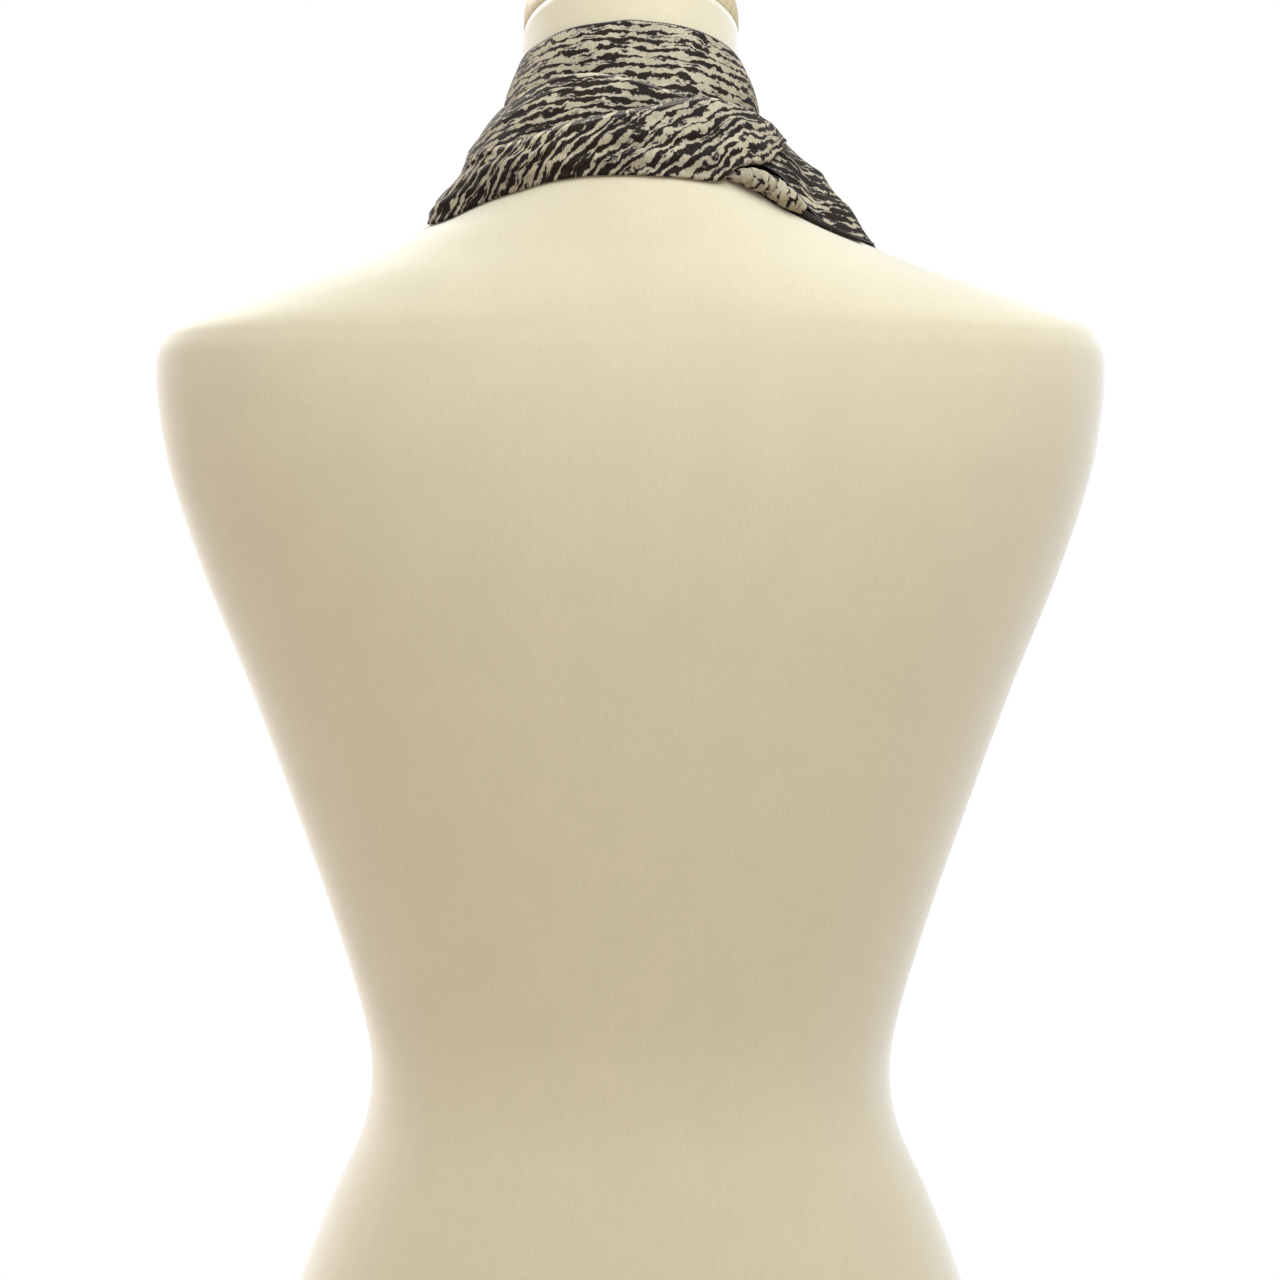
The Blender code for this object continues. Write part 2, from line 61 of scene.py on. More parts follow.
# How far the cloth stays off what lies under it, and how that is looked for and settled
CLEAR = 0.9 * MM
COWL_CLEAR = 1.4 * MM
REACH = 12.0 * MM
FACING_SHARE = 0.8
SETTLING_PASSES = 5
SETTLING_PUSH = 1.3

# Steps between the rows of a table, as in the solids, and how much finer the cloth is here
FOLD_STEPS = 3
WRAP_STEPS = 2
TAIL_STEPS = 30
FINER = 4

# Lines across each stretch, the soft folds that run along it, how far and in what waves they wander
# (spacing in millimetres, start and share), and the cloth's natural unevenness
BAND_LINES = 22
FOLD_LINES = 34
TAIL_LINES = 44
FOLD_WAVES = 2
TAIL_WAVES = 3
TAIL_WANDER = 0.02
WANDER_WAVES = ((47, 1.3, 1), (23, 0, 0.6))
NATURAL_SCALE = 62.0
NATURAL_LIFT = 0.45 * MM

# Edges that curl in, in millimetres: height, depth, and a lip beyond them
CURL_STEPS = 5
FOLD_CURL = (1.1, 1.0, 2.0)
DRAPE_CURL = (1.0, 0.9, 2.0)
WRAP_TOP_CURL = (1.6, 1.3, 2.4)
WRAP_LOW_CURL = (1.1, 1.0, 2.0)
# These curled columns also carry the painted highlight along the folded edges
CURLED_COLUMNS = range(CURL_STEPS - 2, CURL_STEPS + 2)

# The wrap's first rows lie under the drape, and it turns over the drape in so many lines
TUCKED_ROWS = 2
TURNING_LINES = 12

# The rolled edge, which is a little fuller between its grooves
ROLL_RADIUS = 4.5 * MM
ROLL_FULLNESS = 1.06
ROLL_ROWS = 9
ROLL_SIDES = 28

# The tucked cloth: its lines, the gap to the form at its lower edge in millimetres, how much that
# grows with its rise, and its waves
TUCKED_LINES = 12
TUCKED_GAP = 0.9
TUCKED_LEAN = 0.12
TUCKED_WAVE = 0.7
TUCKED_WAVE_RISE = 2.1
TUCKED_WAVE_ANGLE = 5

FORM_SEGMENTS = 200
FORM_STEPS = 6

# The cap, and its foot as how far in and how high each point is in millimetres
CAP_CROWN = 1.5 * MM
CAP_CROWN_STEPS = 4
CAP_SEAM = 0.3 * MM
CAP_EDGE_STEPS = 14
CAP_STEPS = 120
CAP_FOOT = ((0, 1.2), (0.5, 0.3), (1.2, 0))

# The stitches round a hem: sides of the hem and the thread, lean in radians and its spread
HEM_SIDES = 8
THREAD_SIDES = 3
STITCH_LEAN = 0.35
STITCH_SLANTS = (0.25, 0.45)
STITCH_SEED = 7

# The print: how far its rows wander, bend and are frayed
PRINT_WANDER = 9.0 * MM
PRINT_BEND = 3.6 * MM
PRINT_FRAY = 4.0 * MM

# The neck's axis: where it is at the shoulders, and how far it leans forwards above them
NECK_AXIS_Y = -0.006
NECK_AXIS_FROM = 0.600
NECK_AXIS_SLOPE = 0.36

# The bust: its height, the distance between its middles, how far it comes forward, how wide and
# high it spreads, and how far in front of the sides it is full
BUST_HEIGHT = 0.395
BUST_SPACING = 0.150
BUST_DEPTH = 0.022
BUST_WIDTH = 0.042
BUST_RISE = 0.050
BUST_FROM = 0.050

# The floor, and the camera's sensor in millimetres and how far it sees
FLOOR_RADIUS = 0.95
FLOOR_CORNERS = 96
FLOOR_TONES = ((0.84, 0.84, 0.83, 1), (0.88, 0.88, 0.87, 1))
SENSOR_WIDTH = 36
VIEW_DEPTH = 50

# The soft lights: where each is, its size, the setting of its power, and its colour
LIGHTS = {
    "key_light": ((-0.2, 0.5, 1.3), 0.9, "key_power", (0.78, 1.0, 1.24)),
    "right_light": ((-1.8, -0.4, 1.5), 1.2, "side_power", (1.0, 1.0, 1.0)),
    "left_light": ((1.8, -0.4, 0.5), 1.2, "left_power", (1.0, 1.0, 1.0)),
    "front_light": ((1.9, -2.2, 1.9), 0.9, "front_power", (1.0, 0.98, 0.95)),
}
LIT_POINT = Vector((0, 0, 0.4))

# The torso's sections: height of the sides, middle in Y, lean in degrees (the back edge rises),
# half width, depth behind and before the middle, squareness
TORSO_COLUMNS = ("height", "middle", "lean", "half_width", "back", "front", "squareness")
TORSO = (
    (0.0000, 0.003, 0.0, 0.1485, 0.0930, 0.0910, 2.25),
    (0.0025, 0.003, 0.0, 0.1528, 0.0970, 0.0950, 2.25),
    (0.0090, 0.003, 0.0, 0.1552, 0.0995, 0.0975, 2.25),
    (0.0450, 0.003, 0.0, 0.1565, 0.1035, 0.1015, 2.25),
    (0.0900, 0.003, 0.0, 0.1510, 0.1025, 0.1010, 2.25),
    (0.1310, 0.002, 0.0, 0.1403, 0.0965, 0.0975, 2.25),
    (0.1650, 0.000, 0.0, 0.1275, 0.0885, 0.0915, 2.20),
    (0.1950, -0.003, 0.0, 0.1140, 0.0825, 0.0855, 2.20),
    (0.2180, -0.004, 0.0, 0.1100, 0.0805, 0.0835, 2.20),
    (0.2420, -0.004, 0.0, 0.1130, 0.0810, 0.0845, 2.20),
    (0.2850, -0.001, 0.0, 0.1257, 0.0840, 0.0915, 2.20),
    (0.3350, 0.001, 0.0, 0.1432, 0.0895, 0.1005, 2.25),
    (0.3850, 0.002, 0.0, 0.1618, 0.0945, 0.1070, 2.30),
    (0.4300, 0.003, 0.0, 0.1802, 0.0975, 0.1070, 2.30),
    (0.4710, 0.004, 0.0, 0.1940, 0.0965, 0.1000, 2.30),
    (0.5000, 0.005, 0.0, 0.1995, 0.0925, 0.0915, 2.30),
    (0.5200, 0.005, 0.0, 0.2008, 0.0885, 0.0845, 2.30),
    (0.5290, 0.005, 0.5, 0.1985, 0.0857, 0.0805, 2.30),
    (0.5350, 0.004, 1.0, 0.1925, 0.0845, 0.0775, 2.28),
    (0.5430, 0.003, 1.5, 0.1710, 0.0822, 0.0735, 2.18),
    (0.5515, 0.001, 2.0, 0.1480, 0.0800, 0.0690, 2.08),
    (0.5610, -0.001, 3.0, 0.1205, 0.0768, 0.0650, 1.98),
    (0.5708, -0.002, 5.0, 0.0985, 0.0725, 0.0610, 1.92),
    (0.5795, -0.003, 8.0, 0.0820, 0.0680, 0.0570, 1.90),
    (0.5885, -0.004, 11.5, 0.0680, 0.0625, 0.0535, 1.92),
    (0.5988, -0.006, 15.0, 0.0575, 0.0565, 0.0505, 1.96),
    (0.6120, -0.009, 19.5, 0.0515, 0.0515, 0.0485, 2.00),
    (0.6265, -0.0135, 23.0, 0.0482, 0.0485, 0.0472, 2.00),
    (0.6440, -0.0190, 25.5, 0.0468, 0.0470, 0.0466, 2.00),
    (0.6615, -0.0240, 27.0, 0.0462, 0.0462, 0.0462, 2.00),
)

# The stole's stretches round the neck: for the upper and the lower edge the angle in degrees, the
# height and the gap to the form in millimetres; then how far the middle bulges and how deep the
# folds are
BAND_COLUMNS = (
    "up_angle", "up_height", "up_gap", "low_angle", "low_height", "low_gap", "bulge", "fold")
NECK_BAND = (
    (0, 662.7, 3.0, 0, 626.0, 3.0, 1.5, 0),
    (26, 660.2, 3.0, 26, 624.0, 3.0, 1.5, 0),
    (47, 655.0, 2.6, 47, 622.0, 3.0, 2.0, 0),
    (63, 650.7, 2.0, 63, 620.5, 3.0, 2.6, 0),
    (80, 644.7, 1.5, 80, 618.0, 3.0, 3.0, 0),
    (95, 640.0, 1.5, 95, 615.0, 3.0, 3.0, 0),
    (120, 632.0, 1.5, 120, 606.0, 3.0, 2.5, 0),
    (150, 626.0, 1.5, 150, 598.0, 3.0, 2.0, 0),
    (180, 624.0, 1.5, 180, 595.0, 3.0, 2.0, 0),
)
BACK_FOLD = (
    (25, 628.1, 6.0, 24, 622.5, 6.2, 0.3, 0),
    (13, 632.3, 6.6, 10, 619.5, 6.8, 0.6, 0),
    (2, 636.0, 6.8, -2, 617.0, 7.2, 1.0, 0),
    (-12, 639.0, 7.0, -17, 614.0, 8.5, 1.0, 0),
    (-25, 639.5, 7.0, -30, 610.5, 10.0, 1.2, 0),
    (-40, 636.0, 7.0, -44, 606.0, 11.5, 1.5, 0),
    (-50, 632.8, 7.5, -56, 601.0, 12.0, 2.0, 0),
    (-62, 629.5, 7.8, -68, 594.0, 10.5, 2.4, 0),
    (-78, 628.5, 7.4, -82, 590.0, 8.2, 2.6, 0.2),
    (-97, 627.0, 7.4, -97, 586.5, 7.0, 2.8, 0.6),
)
THROAT_COWL = (
    (-120, 619.0, 8.0, -118, 575.0, 4.0, 4.5, 1.6),
    (-150, 611.0, 9.0, -150, 553.0, 3.0, 6.0, 3.0),
    (-180, 607.0, 10.0, -180, 541.0, 2.5, 8.0, 3.6),
    (-210, 610.0, 9.0, -210, 553.0, 2.5, 6.0, 3.0),
    (-240, 619.0, 7.0, -242, 579.0, 2.0, 2.0, 1.2),
    (-256, 627.5, 6.0, -256, 606.0, 4.5, 1.0, 0.4),
    (-270, 624.5, 6.5, -270, 612.5, 6.5, 0.8, 0),
    (-282, 620.5, 6.0, -282, 610.0, 6.0, 0.5, 0),
    (-294, 617.0, 5.0, -294, 608.5, 5.0, 0.3, 0),
)
BACK_WRAP = (
    (101, 615.0, 9.5, 101, 611.0, 9.5, 0.2, 0),
    (93, 620.5, 10.0, 93, 616.0, 10.0, 0.3, 0),
    (86, 624.0, 10.0, 86, 620.0, 12.0, 0.4, 0),
    (79, 624.0, 9.8, 78, 614.5, 12.6, 0.7, 0),
    (70, 623.2, 9.6, 67, 608.5, 12.5, 1.2, 0),
    (60, 625.0, 9.2, 56, 604.5, 12.5, 1.5, 0),
    (51, 626.0, 9.5, 48, 602.2, 12.5, 2.0, 0.2),
    (42, 628.0, 9.2, 43, 602.0, 12.0, 2.3, 0.4),
    (33, 629.4, 8.8, 37, 598.5, 9.0, 2.8, 0.6),
    (25, 628.8, 8.5, 30, 593.8, 3.5, 3.0, 0.7),
    (15, 626.1, 9.0, 20, 594.2, 2.0, 3.0, 0.7),
    (5, 623.5, 9.7, 9, 595.0, 2.0, 3.0, 0.7),
    (-5, 621.2, 10.5, -3, 595.3, 2.0, 3.0, 0.6),
    (-15, 618.6, 11.3, -15, 595.1, 2.0, 3.0, 0.5),
    (-25, 615.7, 12.0, -27, 593.5, 2.0, 3.0, 0.4),
    (-36, 611.5, 14.0, -38, 590.4, 2.0, 3.0, 0.3),
    (-46, 608.8, 14.8, -49, 586.8, 2.0, 2.8, 0.3),
    (-56, 607.2, 15.0, -57, 582.6, 2.0, 2.5, 0.3),
    (-64, 602.0, 15.0, -63.5, 578.6, 2.0, 2.5, 0.3),
    (-69, 595.5, 13.5, -72, 578.0, 2.0, 1.6, 0.3),
    (-75, 590.5, 11.5, -79, 579.6, 2.0, 1.2, 0.3),
    (-83, 588.5, 9.5, -88, 579.8, 2.0, 0.8, 0.4),
    (-92, 588.0, 9.0, -97, 577.8, 2.0, 0.8, 0.5),
    (-101, 587.0, 9.0, -105, 573.5, 2.5, 1.0, 0.6),
)
SHOULDER_DRAPE = (
    (46, 617.0, 5.0, 44, 604.0, 5.5, 0.5, 0),
    (57, 617.5, 6.0, 52, 602.0, 7.0, 0.8, 0.05),
    (66, 618.0, 8.0, 58, 597.5, 9.0, 1.2, 0.1),
    (74, 619.0, 10.5, 62.5, 588.5, 6.5, 2.0, 0.15),
    (81, 617.5, 11.0, 64, 578.5, 2.0, 2.6, 0.2),
    (88, 617.5, 12.3, 67.7, 574.0, 2.0, 3.0, 0.25),
    (95, 617.0, 13.0, 75, 570.0, 1.5, 3.6, 0.3),
    (101, 614.5, 13.5, 84, 570.0, 1.5, 3.8, 0.4),
    (107, 610.0, 13.0, 94, 567.0, 1.5, 4.0, 0.5),
    (113, 604.0, 12.5, 104, 561.0, 1.5, 4.2, 0.7),
)

# The hanging ends: across the front from the inner to the outer edge, in millimetres: how far each
# edge is from the middle, the heights of both, the gap to the form, the bulge and the pleats' depth
TAIL_COLUMNS = ("inner_side", "inner_height", "outer_side", "outer_height", "gap", "bulge", "pleat")
LEFT_TAIL = (
    (56, 571, 87, 559, 10, 3.0, 1.0),
    (48, 537, 92, 527, 7, 2.5, 2.0),
    (43, 490, 96, 485, 4, 1.5, 3.2),
    (40, 440, 97, 438, 4, 1.0, 4.0),
    (38, 392, 98, 390, 5, 0.5, 4.8),
    (36, 340, 98, 340, 22, 0, 5.4),
    (33, 280, 98, 280, 40, 0, 6.0),
    (30, 220, 99, 220, 47, 0, 6.5),
    (27, 160, 100, 160, 43, 0, 7.0),
    (24, 100, 101, 101, 36, 0, 7.4),
)
RIGHT_TAIL = (
    (55, 575, 99, 540, 7, 3.2, 1.4),
    (48, 535, 99, 511, 5, 2.6, 2.6),
    (42, 485, 99, 470, 4, 1.5, 3.4),
    (39, 435, 98, 428, 4, 1.0, 4.2),
    (36, 390, 97, 386, 5, 0.5, 5.0),
    (33, 335, 97, 333, 23, 0, 5.6),
    (31, 270, 98, 270, 42, 0, 6.2),
    (28, 205, 99, 205, 47, 0, 6.7),
    (25, 140, 100, 140, 42, 0, 7.1),
    (22, 70, 101, 72, 33, 0, 7.5),
)

# The rolled edge: angle in degrees, height of its middle in millimetres, share of the full radius
ROLL_COLUMNS = ("angle", "height", "thickness")
SHOULDER_ROLL = (
    (33.5, 594.2, 0.10),
    (35.5, 594.0, 0.26),
    (37.4, 593.6, 0.48),
    (39.4, 592.9, 0.72),
    (41.4, 592.0, 0.88),
    (43.7, 591.0, 0.96),
    (47.7, 589.0, 1.00),
    (50.0, 586.2, 1.00),
    (52.7, 583.1, 0.90),
    (56.0, 581.3, 0.66),
    (57.8, 580.2, 0.48),
)

# Creases laid on each stretch: how far along it and how far down its middle line they lie,
# in millimetres, their slant in degrees, their length, half width and height (less than 0 sinks)
CREASE_COLUMNS = ("along", "down", "slant", "length", "half_width", "height")
BAND_CREASES = (
    (8, 6, 2, 34, 2.2, 0.5),
    (34, 9, 8, 40, 1.8, 0.6),
    (62, 12, 6, 46, 2.0, -0.5),
    (300, 10, -6, 44, 2.0, 0.5),
    (270, 6, -10, 38, 1.6, -0.5),
    (120, 4, 4, 50, 2.4, 0.6),
    (165, 10, -3, 60, 2.4, -0.6),
    (215, 5, 5, 46, 2.0, 0.5),
)
FOLD_CREASES = (
    (40, 0, 6, 50, 2.2, 0.7),
    (60, 5, 14, 46, 1.9, -0.7),
    (82, -4, 10, 54, 2.4, 0.8),
    (100, 6, 20, 44, 2.4, -0.9),
    (128, 2, 12, 60, 3.2, 1.2),
    (150, 14, 6, 66, 3.0, -1.2),
    (186, -6, -4, 80, 3.6, 1.4),
    (205, 12, 3, 90, 3.0, -1.3),
    (245, 2, -14, 60, 3.0, 1.1),
    (268, -2, -10, 44, 2.4, -0.9),
)
DRAPE_CREASES = (
    (22, -2, 6, 40, 2.0, 0.6),
    (38, 8, 10, 46, 2.0, -0.6),
    (52, -8, 4, 60, 2.4, 0.6),
    (66, 14, 2, 50, 2.2, 0.5),
    (80, -2, -4, 70, 2.2, -0.5),
)
WRAP_CREASES = (
    (38, 2, 14, 34, 1.8, 0.9),
    (46, 7, 22, 30, 1.6, -0.9),
    (60, -3, 10, 46, 2.2, 0.6),
    (72, 6, 16, 40, 2.0, 0.6),
    (96, 2, 7, 60, 2.6, -0.6),
    (122, -4, 10, 64, 2.2, 0.6),
    (140, 6, 8, 56, 2.4, -0.6),
    (168, 1, 12, 50, 2.0, 0.7),
    (190, -4, 10, 44, 1.8, -0.6),
    (206, 5, 8, 40, 2.0, 0.6),
)

# The cloth tucked in behind the roll: angle in degrees, height of its lower edge and its rise in
# millimetres
TUCKED_COLUMNS = ("angle", "height", "rise")
TUCKED_CLOTH = (
    (37, 597, 15),
    (44, 591, 20),
    (51, 584, 26),
    (57, 579, 31),
    (62, 574.5, 34),
    (66, 571.5, 34),
    (70, 570, 32),
    (75, 574, 28),
    (82, 590, 18),
    (96, 596, 14),
)

# Grooves round the rolled edge: their place along it, how far they lean and their half width, in
# millimetres, and their depth as a share of the radius
GROOVE_COLUMNS = ("along", "lean", "half_width", "depth")
ROLL_GROOVES = (
    (9.5, 3.5, 1.3, 0.26),
    (19.5, 4.5, 1.6, 0.30),
    (27.5, 4.0, 1.2, 0.20),
    (14.5, 2.5, 0.8, 0.08),
    (24.0, 3.0, 0.8, 0.08),
)

# The print on each stretch: how far it is turned (places along the stretch in millimetres, and
# degrees there), where it starts, and how much denser than the others it is
PRINTS = {
    "neck_band_cloth": (((0, 0), (330, 0)), (0.0, 0.0), -0.02),
    "fold_cloth": (((0, 4), (60, 2), (120, -6), (170, -12), (330, 0)), (0.31, 0.17), 0.14),
    "roll_cloth": (((0, 70), (20, 80), (40, 74)), (0.12, 0.63), -0.30),
    # The tucked cloth's extra ink makes it nearly solid dark: painted shade for the shadowed pocket
    # behind the roll
    "tucked_cloth": (((0, 20), (40, 50)), (0.51, 0.07), 1.0),
    "drape_cloth": (((0, 6), (40, 4), (80, -6), (140, 0), (600, 8)), (0.77, 0.41), 0.32),
    "wrap_cloth": (((0, -2), (60, -12), (100, -25), (140, -42), (185, -62), (225, -60),
                    (300, -20), (360, -4), (700, 4)), (0.05, 0.93), 0.13),
}

# The hems: each one's name, its stretch, the column of the edge that it follows (none for the end
# alone), and whether it closes on itself; one that doesn't goes on across the stretch's end
HEMS = (
    ("band_hem", "neck_band_cloth", 0, True),
    ("drape_hem", "drape_cloth", -1, False),
    ("wrap_hem", "wrap_cloth", None, False),
)

# What the two ends lie on, besides the form
UNDER_THE_ENDS = ("neck_band_cloth", "fold_cloth", "roll_cloth")


def colour_of(value, brightness=1):
    """A colour for a shader's socket, which has a fourth number."""
    return (*(min(1, part * brightness) for part in value), 1)


def colour_setting(name, description, default):
    """A colour that a user can change."""
    return bpy.props.FloatVectorProperty(
        name=name, description=description, subtype="COLOR", size=3, min=0, max=1, default=default)


def size_setting(name, description, default, low, high, unit="LENGTH"):
    """A length, or a number with another unit, that a user can change."""
    return bpy.props.FloatProperty(
        name=name, description=description, default=default, min=low, max=high, unit=unit)


class StoleFormSettings(bpy.types.PropertyGroup):
    """What a user would change on the dress form."""

    jersey_colour: colour_setting(
        "Jersey colour", "Colour of the knitted cover", (0.383, 0.300, 0.180))
    rib_spacing: size_setting(
        "Rib spacing", "Distance between the knit's ribs", 0.9 * MM, 0.3 * MM, 5 * MM)
    light_wood: colour_setting("Light wood", "The cap's early wood", (0.39, 0.30, 0.165))
    dark_wood: colour_setting("Dark wood", "The cap's late wood", (0.31, 0.23, 0.118))
    cap_radius: size_setting(
        "Cap radius", "Radius of the wooden neck cap", 46.2 * MM, 30 * MM, 46.6 * MM)
    cap_height: size_setting(
        "Cap height", "Height of the wooden neck cap", 26 * MM, 15 * MM, 27 * MM)
    cap_edge: size_setting(
        "Cap edge", "Radius of the cap's rounded edge", 17 * MM, 5 * MM, 20 * MM)


class StoleClothSettings(bpy.types.PropertyGroup):
    """What a user would change on the stole."""

    thickness: size_setting(
        "Thickness", "Thickness of the cloth", 0.6 * MM, 0.2 * MM, 1.2 * MM)
    ground_colour: colour_setting(
        "Ground colour", "Colour between the stripes", (0.316, 0.252, 0.160))
    shaded_ground: colour_setting(
        "Shaded ground", "The ground's darker patches", (0.200, 0.154, 0.096))
    stripe_colour: colour_setting(
        "Stripe colour", "Colour of the stripes", (0.0080, 0.0048, 0.0026))
    stripe_edge: colour_setting(
        "Stripe edge", "Colour of the stripes' thin rims", (0.110, 0.082, 0.066))
    stripe_spacing: size_setting(
        "Stripe spacing", "Distance between two stripes", 4.4 * MM, 2 * MM, 20 * MM)
    stripe_share: bpy.props.FloatProperty(
        name="Stripe share", description="How much of the cloth the stripes cover",
        default=0.42, min=0.1, max=0.8, subtype="FACTOR")
    rib_spacing: size_setting(
        "Rib spacing", "Distance between the cloth's fine ribs", 1.0 * MM, 0.3 * MM, 5 * MM)
    hem_radius: size_setting(
        "Hem radius", "Radius of the rolled hem", 0.42 * MM, 0.2 * MM, 1.5 * MM)
    stitch_spacing: size_setting(
        "Stitch spacing", "Distance between the hem's stitches", 1.6 * MM, 1 * MM, 6 * MM)
    thread_radius: size_setting(
        "Thread radius", "Radius of the sewing thread", 0.11 * MM, 0.05 * MM, 0.5 * MM)


class StoleStageSettings(bpy.types.PropertyGroup):
    """What a user would change on the stage."""

    camera_distance: size_setting(
        "Camera distance", "From the form's middle to the camera", 2.1, 1, 5)
    camera_height: size_setting("Camera height", "Height of the level camera", 0.403, 0, 2)
    camera_side: size_setting(
        "Camera side", "How far the camera is from the middle", -0.0038, -1, 1)
    focal_length: size_setting(
        "Focal length", "The lens, in millimetres", 138.96, 35, 300, "NONE")
    key_power: size_setting(
        "Key light", "Power of the soft light over the back", 17.4, 0, 500, "POWER")
    side_power: size_setting(
        "Right side light", "Power of the light at the form's right", 4, 0, 500, "POWER")
    left_power: size_setting(
        "Left side light", "Power of the light at the form's left", 4, 0, 500, "POWER")
    front_power: size_setting(
        "Front light", "Power of the light before the form", 66, 0, 500, "POWER")
    surround: size_setting(
        "Surround", "Brightness of the white surroundings", 1.0, 0, 5, "NONE")


def smooth(places, values, at):
    """Values read at other places from a smooth curve through the given rows."""
    places = np.asarray(places, float)
    steps = np.diff(places)
    slopes = np.diff(values, axis=0) / steps[:, None]
    before = steps[:-1, None]
    after = steps[1:, None]
    between = (slopes[:-1] * after + slopes[1:] * before) / (before + after)
    tangents = np.concatenate([slopes[:1], between, slopes[-1:]])
    found = []
    for place in at:
        index = int(np.clip(np.searchsorted(places, place) - 1, 0, len(steps) - 1))
        span = steps[index]
        t = (place - places[index]) / span
        start = (1 + 2 * t) * (1 - t) ** 2 * values[index]
        start += t * (1 - t) ** 2 * span * tangents[index]
        end = t * t * (3 - 2 * t) * values[index + 1]
        end -= t * t * (1 - t) * span * tangents[index + 1]
        found.append(start + end)
    return np.array(found)


def refined(table, per_row):
    """A table with per_row steps between its rows, as a smooth curve through them."""
    rows = np.array(table, float)
    last = len(rows) - 1
    return smooth(range(last + 1), rows, np.linspace(0, last, last * per_row + 1))


def grid_of(points):
    """Lines of points as an array of rows, columns and axes."""
    return np.array([[tuple(point) for point in line] for line in points])


def remade(name):
    """A name for a piece, after the piece that a button made before has gone."""
    old = bpy.data.objects.get(name)
    if old is not None:
        bpy.data.objects.remove(old)
    return name


def put(name, mesh, finish):
    """A finished piece of the object, riding on its body."""
    piece = bpy.data.objects.new(remade(name), mesh)
    bpy.context.scene.collection.objects.link(piece)
    mesh.materials.clear()
    mesh.materials.append(finish)
    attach(piece, "root")
    return piece


def tree_of(source):
    """A search tree of an object's own mesh."""
    mesh = source.data
    return BVHTree.FromPolygons(
        [vert.co for vert in mesh.vertices], [face.vertices for face in mesh.polygons])


def solid_form():
    """A search tree of the torso's solid."""
    return tree_of(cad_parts["torso"])


class Amount:
    """A number in a material: sums and products of it add Math nodes."""

    def __init__(self, look, socket):
        self.look = look
        self.socket = socket

    def worked(self, operation, *values):
        return self.look.number(
            "ShaderNodeMath", {"operation": operation}, dict(enumerate(values)))

    def __add__(self, other):
        return self.worked("ADD", self, other)

    __radd__ = __add__

    def __sub__(self, other):
        return self.worked("SUBTRACT", self, other)

    def __rsub__(self, other):
        return self.worked("SUBTRACT", other, self)

    def __mul__(self, other):
        return self.worked("MULTIPLY", self, other)

    __rmul__ = __mul__

    def __truediv__(self, other):
        return self.worked("DIVIDE", self, other)

    def size(self):
        return self.worked("ABSOLUTE", self)

    def whole(self):
        return self.worked("FLOOR", self)

    def wave(self):
        return self.worked("SINE", self)

    def at_least(self, other):
        return self.worked("MAXIMUM", self, other)

    def at_most(self, other):
        return self.worked("MINIMUM", self, other)

    def risen(self, low, high):
        """0 below low and 1 above high, with a soft step between them."""
        return self.look.number(
            "ShaderNodeMapRange", {"interpolation_type": "SMOOTHSTEP"},
            {"Value": self, "From Min": low, "From Max": high})


class Look:
    """A material with one Principled shader, to which one method adds any other node."""

    def __init__(self, name, **constants):
        self.material = bpy.data.materials.new(name)
        self.material.use_nodes = True
        self.tree = self.material.node_tree
        self.shader = self.tree.nodes["Principled BSDF"]
        for key, value in constants.items():
            self.shade(key.replace("_", " "), value)

    def join(self, value, socket):
        """Sets a socket to a value, or links it to an Amount or another socket."""
        if isinstance(value, Amount):
            value = value.socket
        if isinstance(value, bpy.types.NodeSocket):
            self.tree.links.new(value, socket)
        else:
            socket.default_value = value

    def add(self, kind, settings, sockets):
        node = self.tree.nodes.new(kind)
        for key, value in settings.items():
            setattr(node, key, value)
        for key, value in sockets.items():
            self.join(value, node.inputs[key])
        return node

    def number(self, kind, settings, sockets, output=0):
        return Amount(self, self.add(kind, settings, sockets).outputs[output])

    def object_place(self):
        """The place on the piece in its own coordinates."""
        return self.add("ShaderNodeTexCoord", {}, {}).outputs["Object"]

    def surface(self, uv_map):
        """The place on the cloth, in metres, from one of the piece's UV maps."""
        return self.add("ShaderNodeUVMap", {"uv_map": uv_map}, {}).outputs[0]

    def marked(self, attribute):
        """The amount that an attribute of the piece gives."""
        return self.number("ShaderNodeAttribute", {"attribute_name": attribute}, {}, "Fac")

    def stretched(self, place, scales):
        sockets = {0: place, 1: scales}
        return self.add("ShaderNodeVectorMath", {"operation": "MULTIPLY"}, sockets).outputs[0]

    def parts(self, place):
        node = self.add("ShaderNodeSeparateXYZ", {}, {0: place})
        return [Amount(self, socket) for socket in node.outputs]

    def joined(self, *values):
        return self.add("ShaderNodeCombineXYZ", {}, dict(enumerate(values))).outputs[0]

    def grain(self, place, detail=2.0, roughness=0.5):
        """Noise between 0 and 1 whose patches are one unit of place across."""
        return self.number(
            "ShaderNodeTexNoise", {},
            {"Vector": place, "Scale": 1.0, "Detail": detail, "Roughness": roughness})

    def patches(self, place, along, across, detail=2.0, roughness=0.5):
        """Noise with so many patches to each metre along and across the cloth."""
        return self.grain(self.stretched(place, (along, across, 0)), detail, roughness)

    def mixed(self, share, first, second):
        """A colour between two colours."""
        sockets = {0: share, 6: first, 7: second}
        return self.add("ShaderNodeMix", {"data_type": "RGBA"}, sockets).outputs[2]

    def shade(self, socket, value):
        self.join(value, self.shader.inputs[socket])

    def bumped(self, height, distance, strength):
        sockets = {"Height": height, "Distance": distance, "Strength": strength}
        self.shade("Normal", self.add("ShaderNodeBump", {}, sockets).outputs[0])


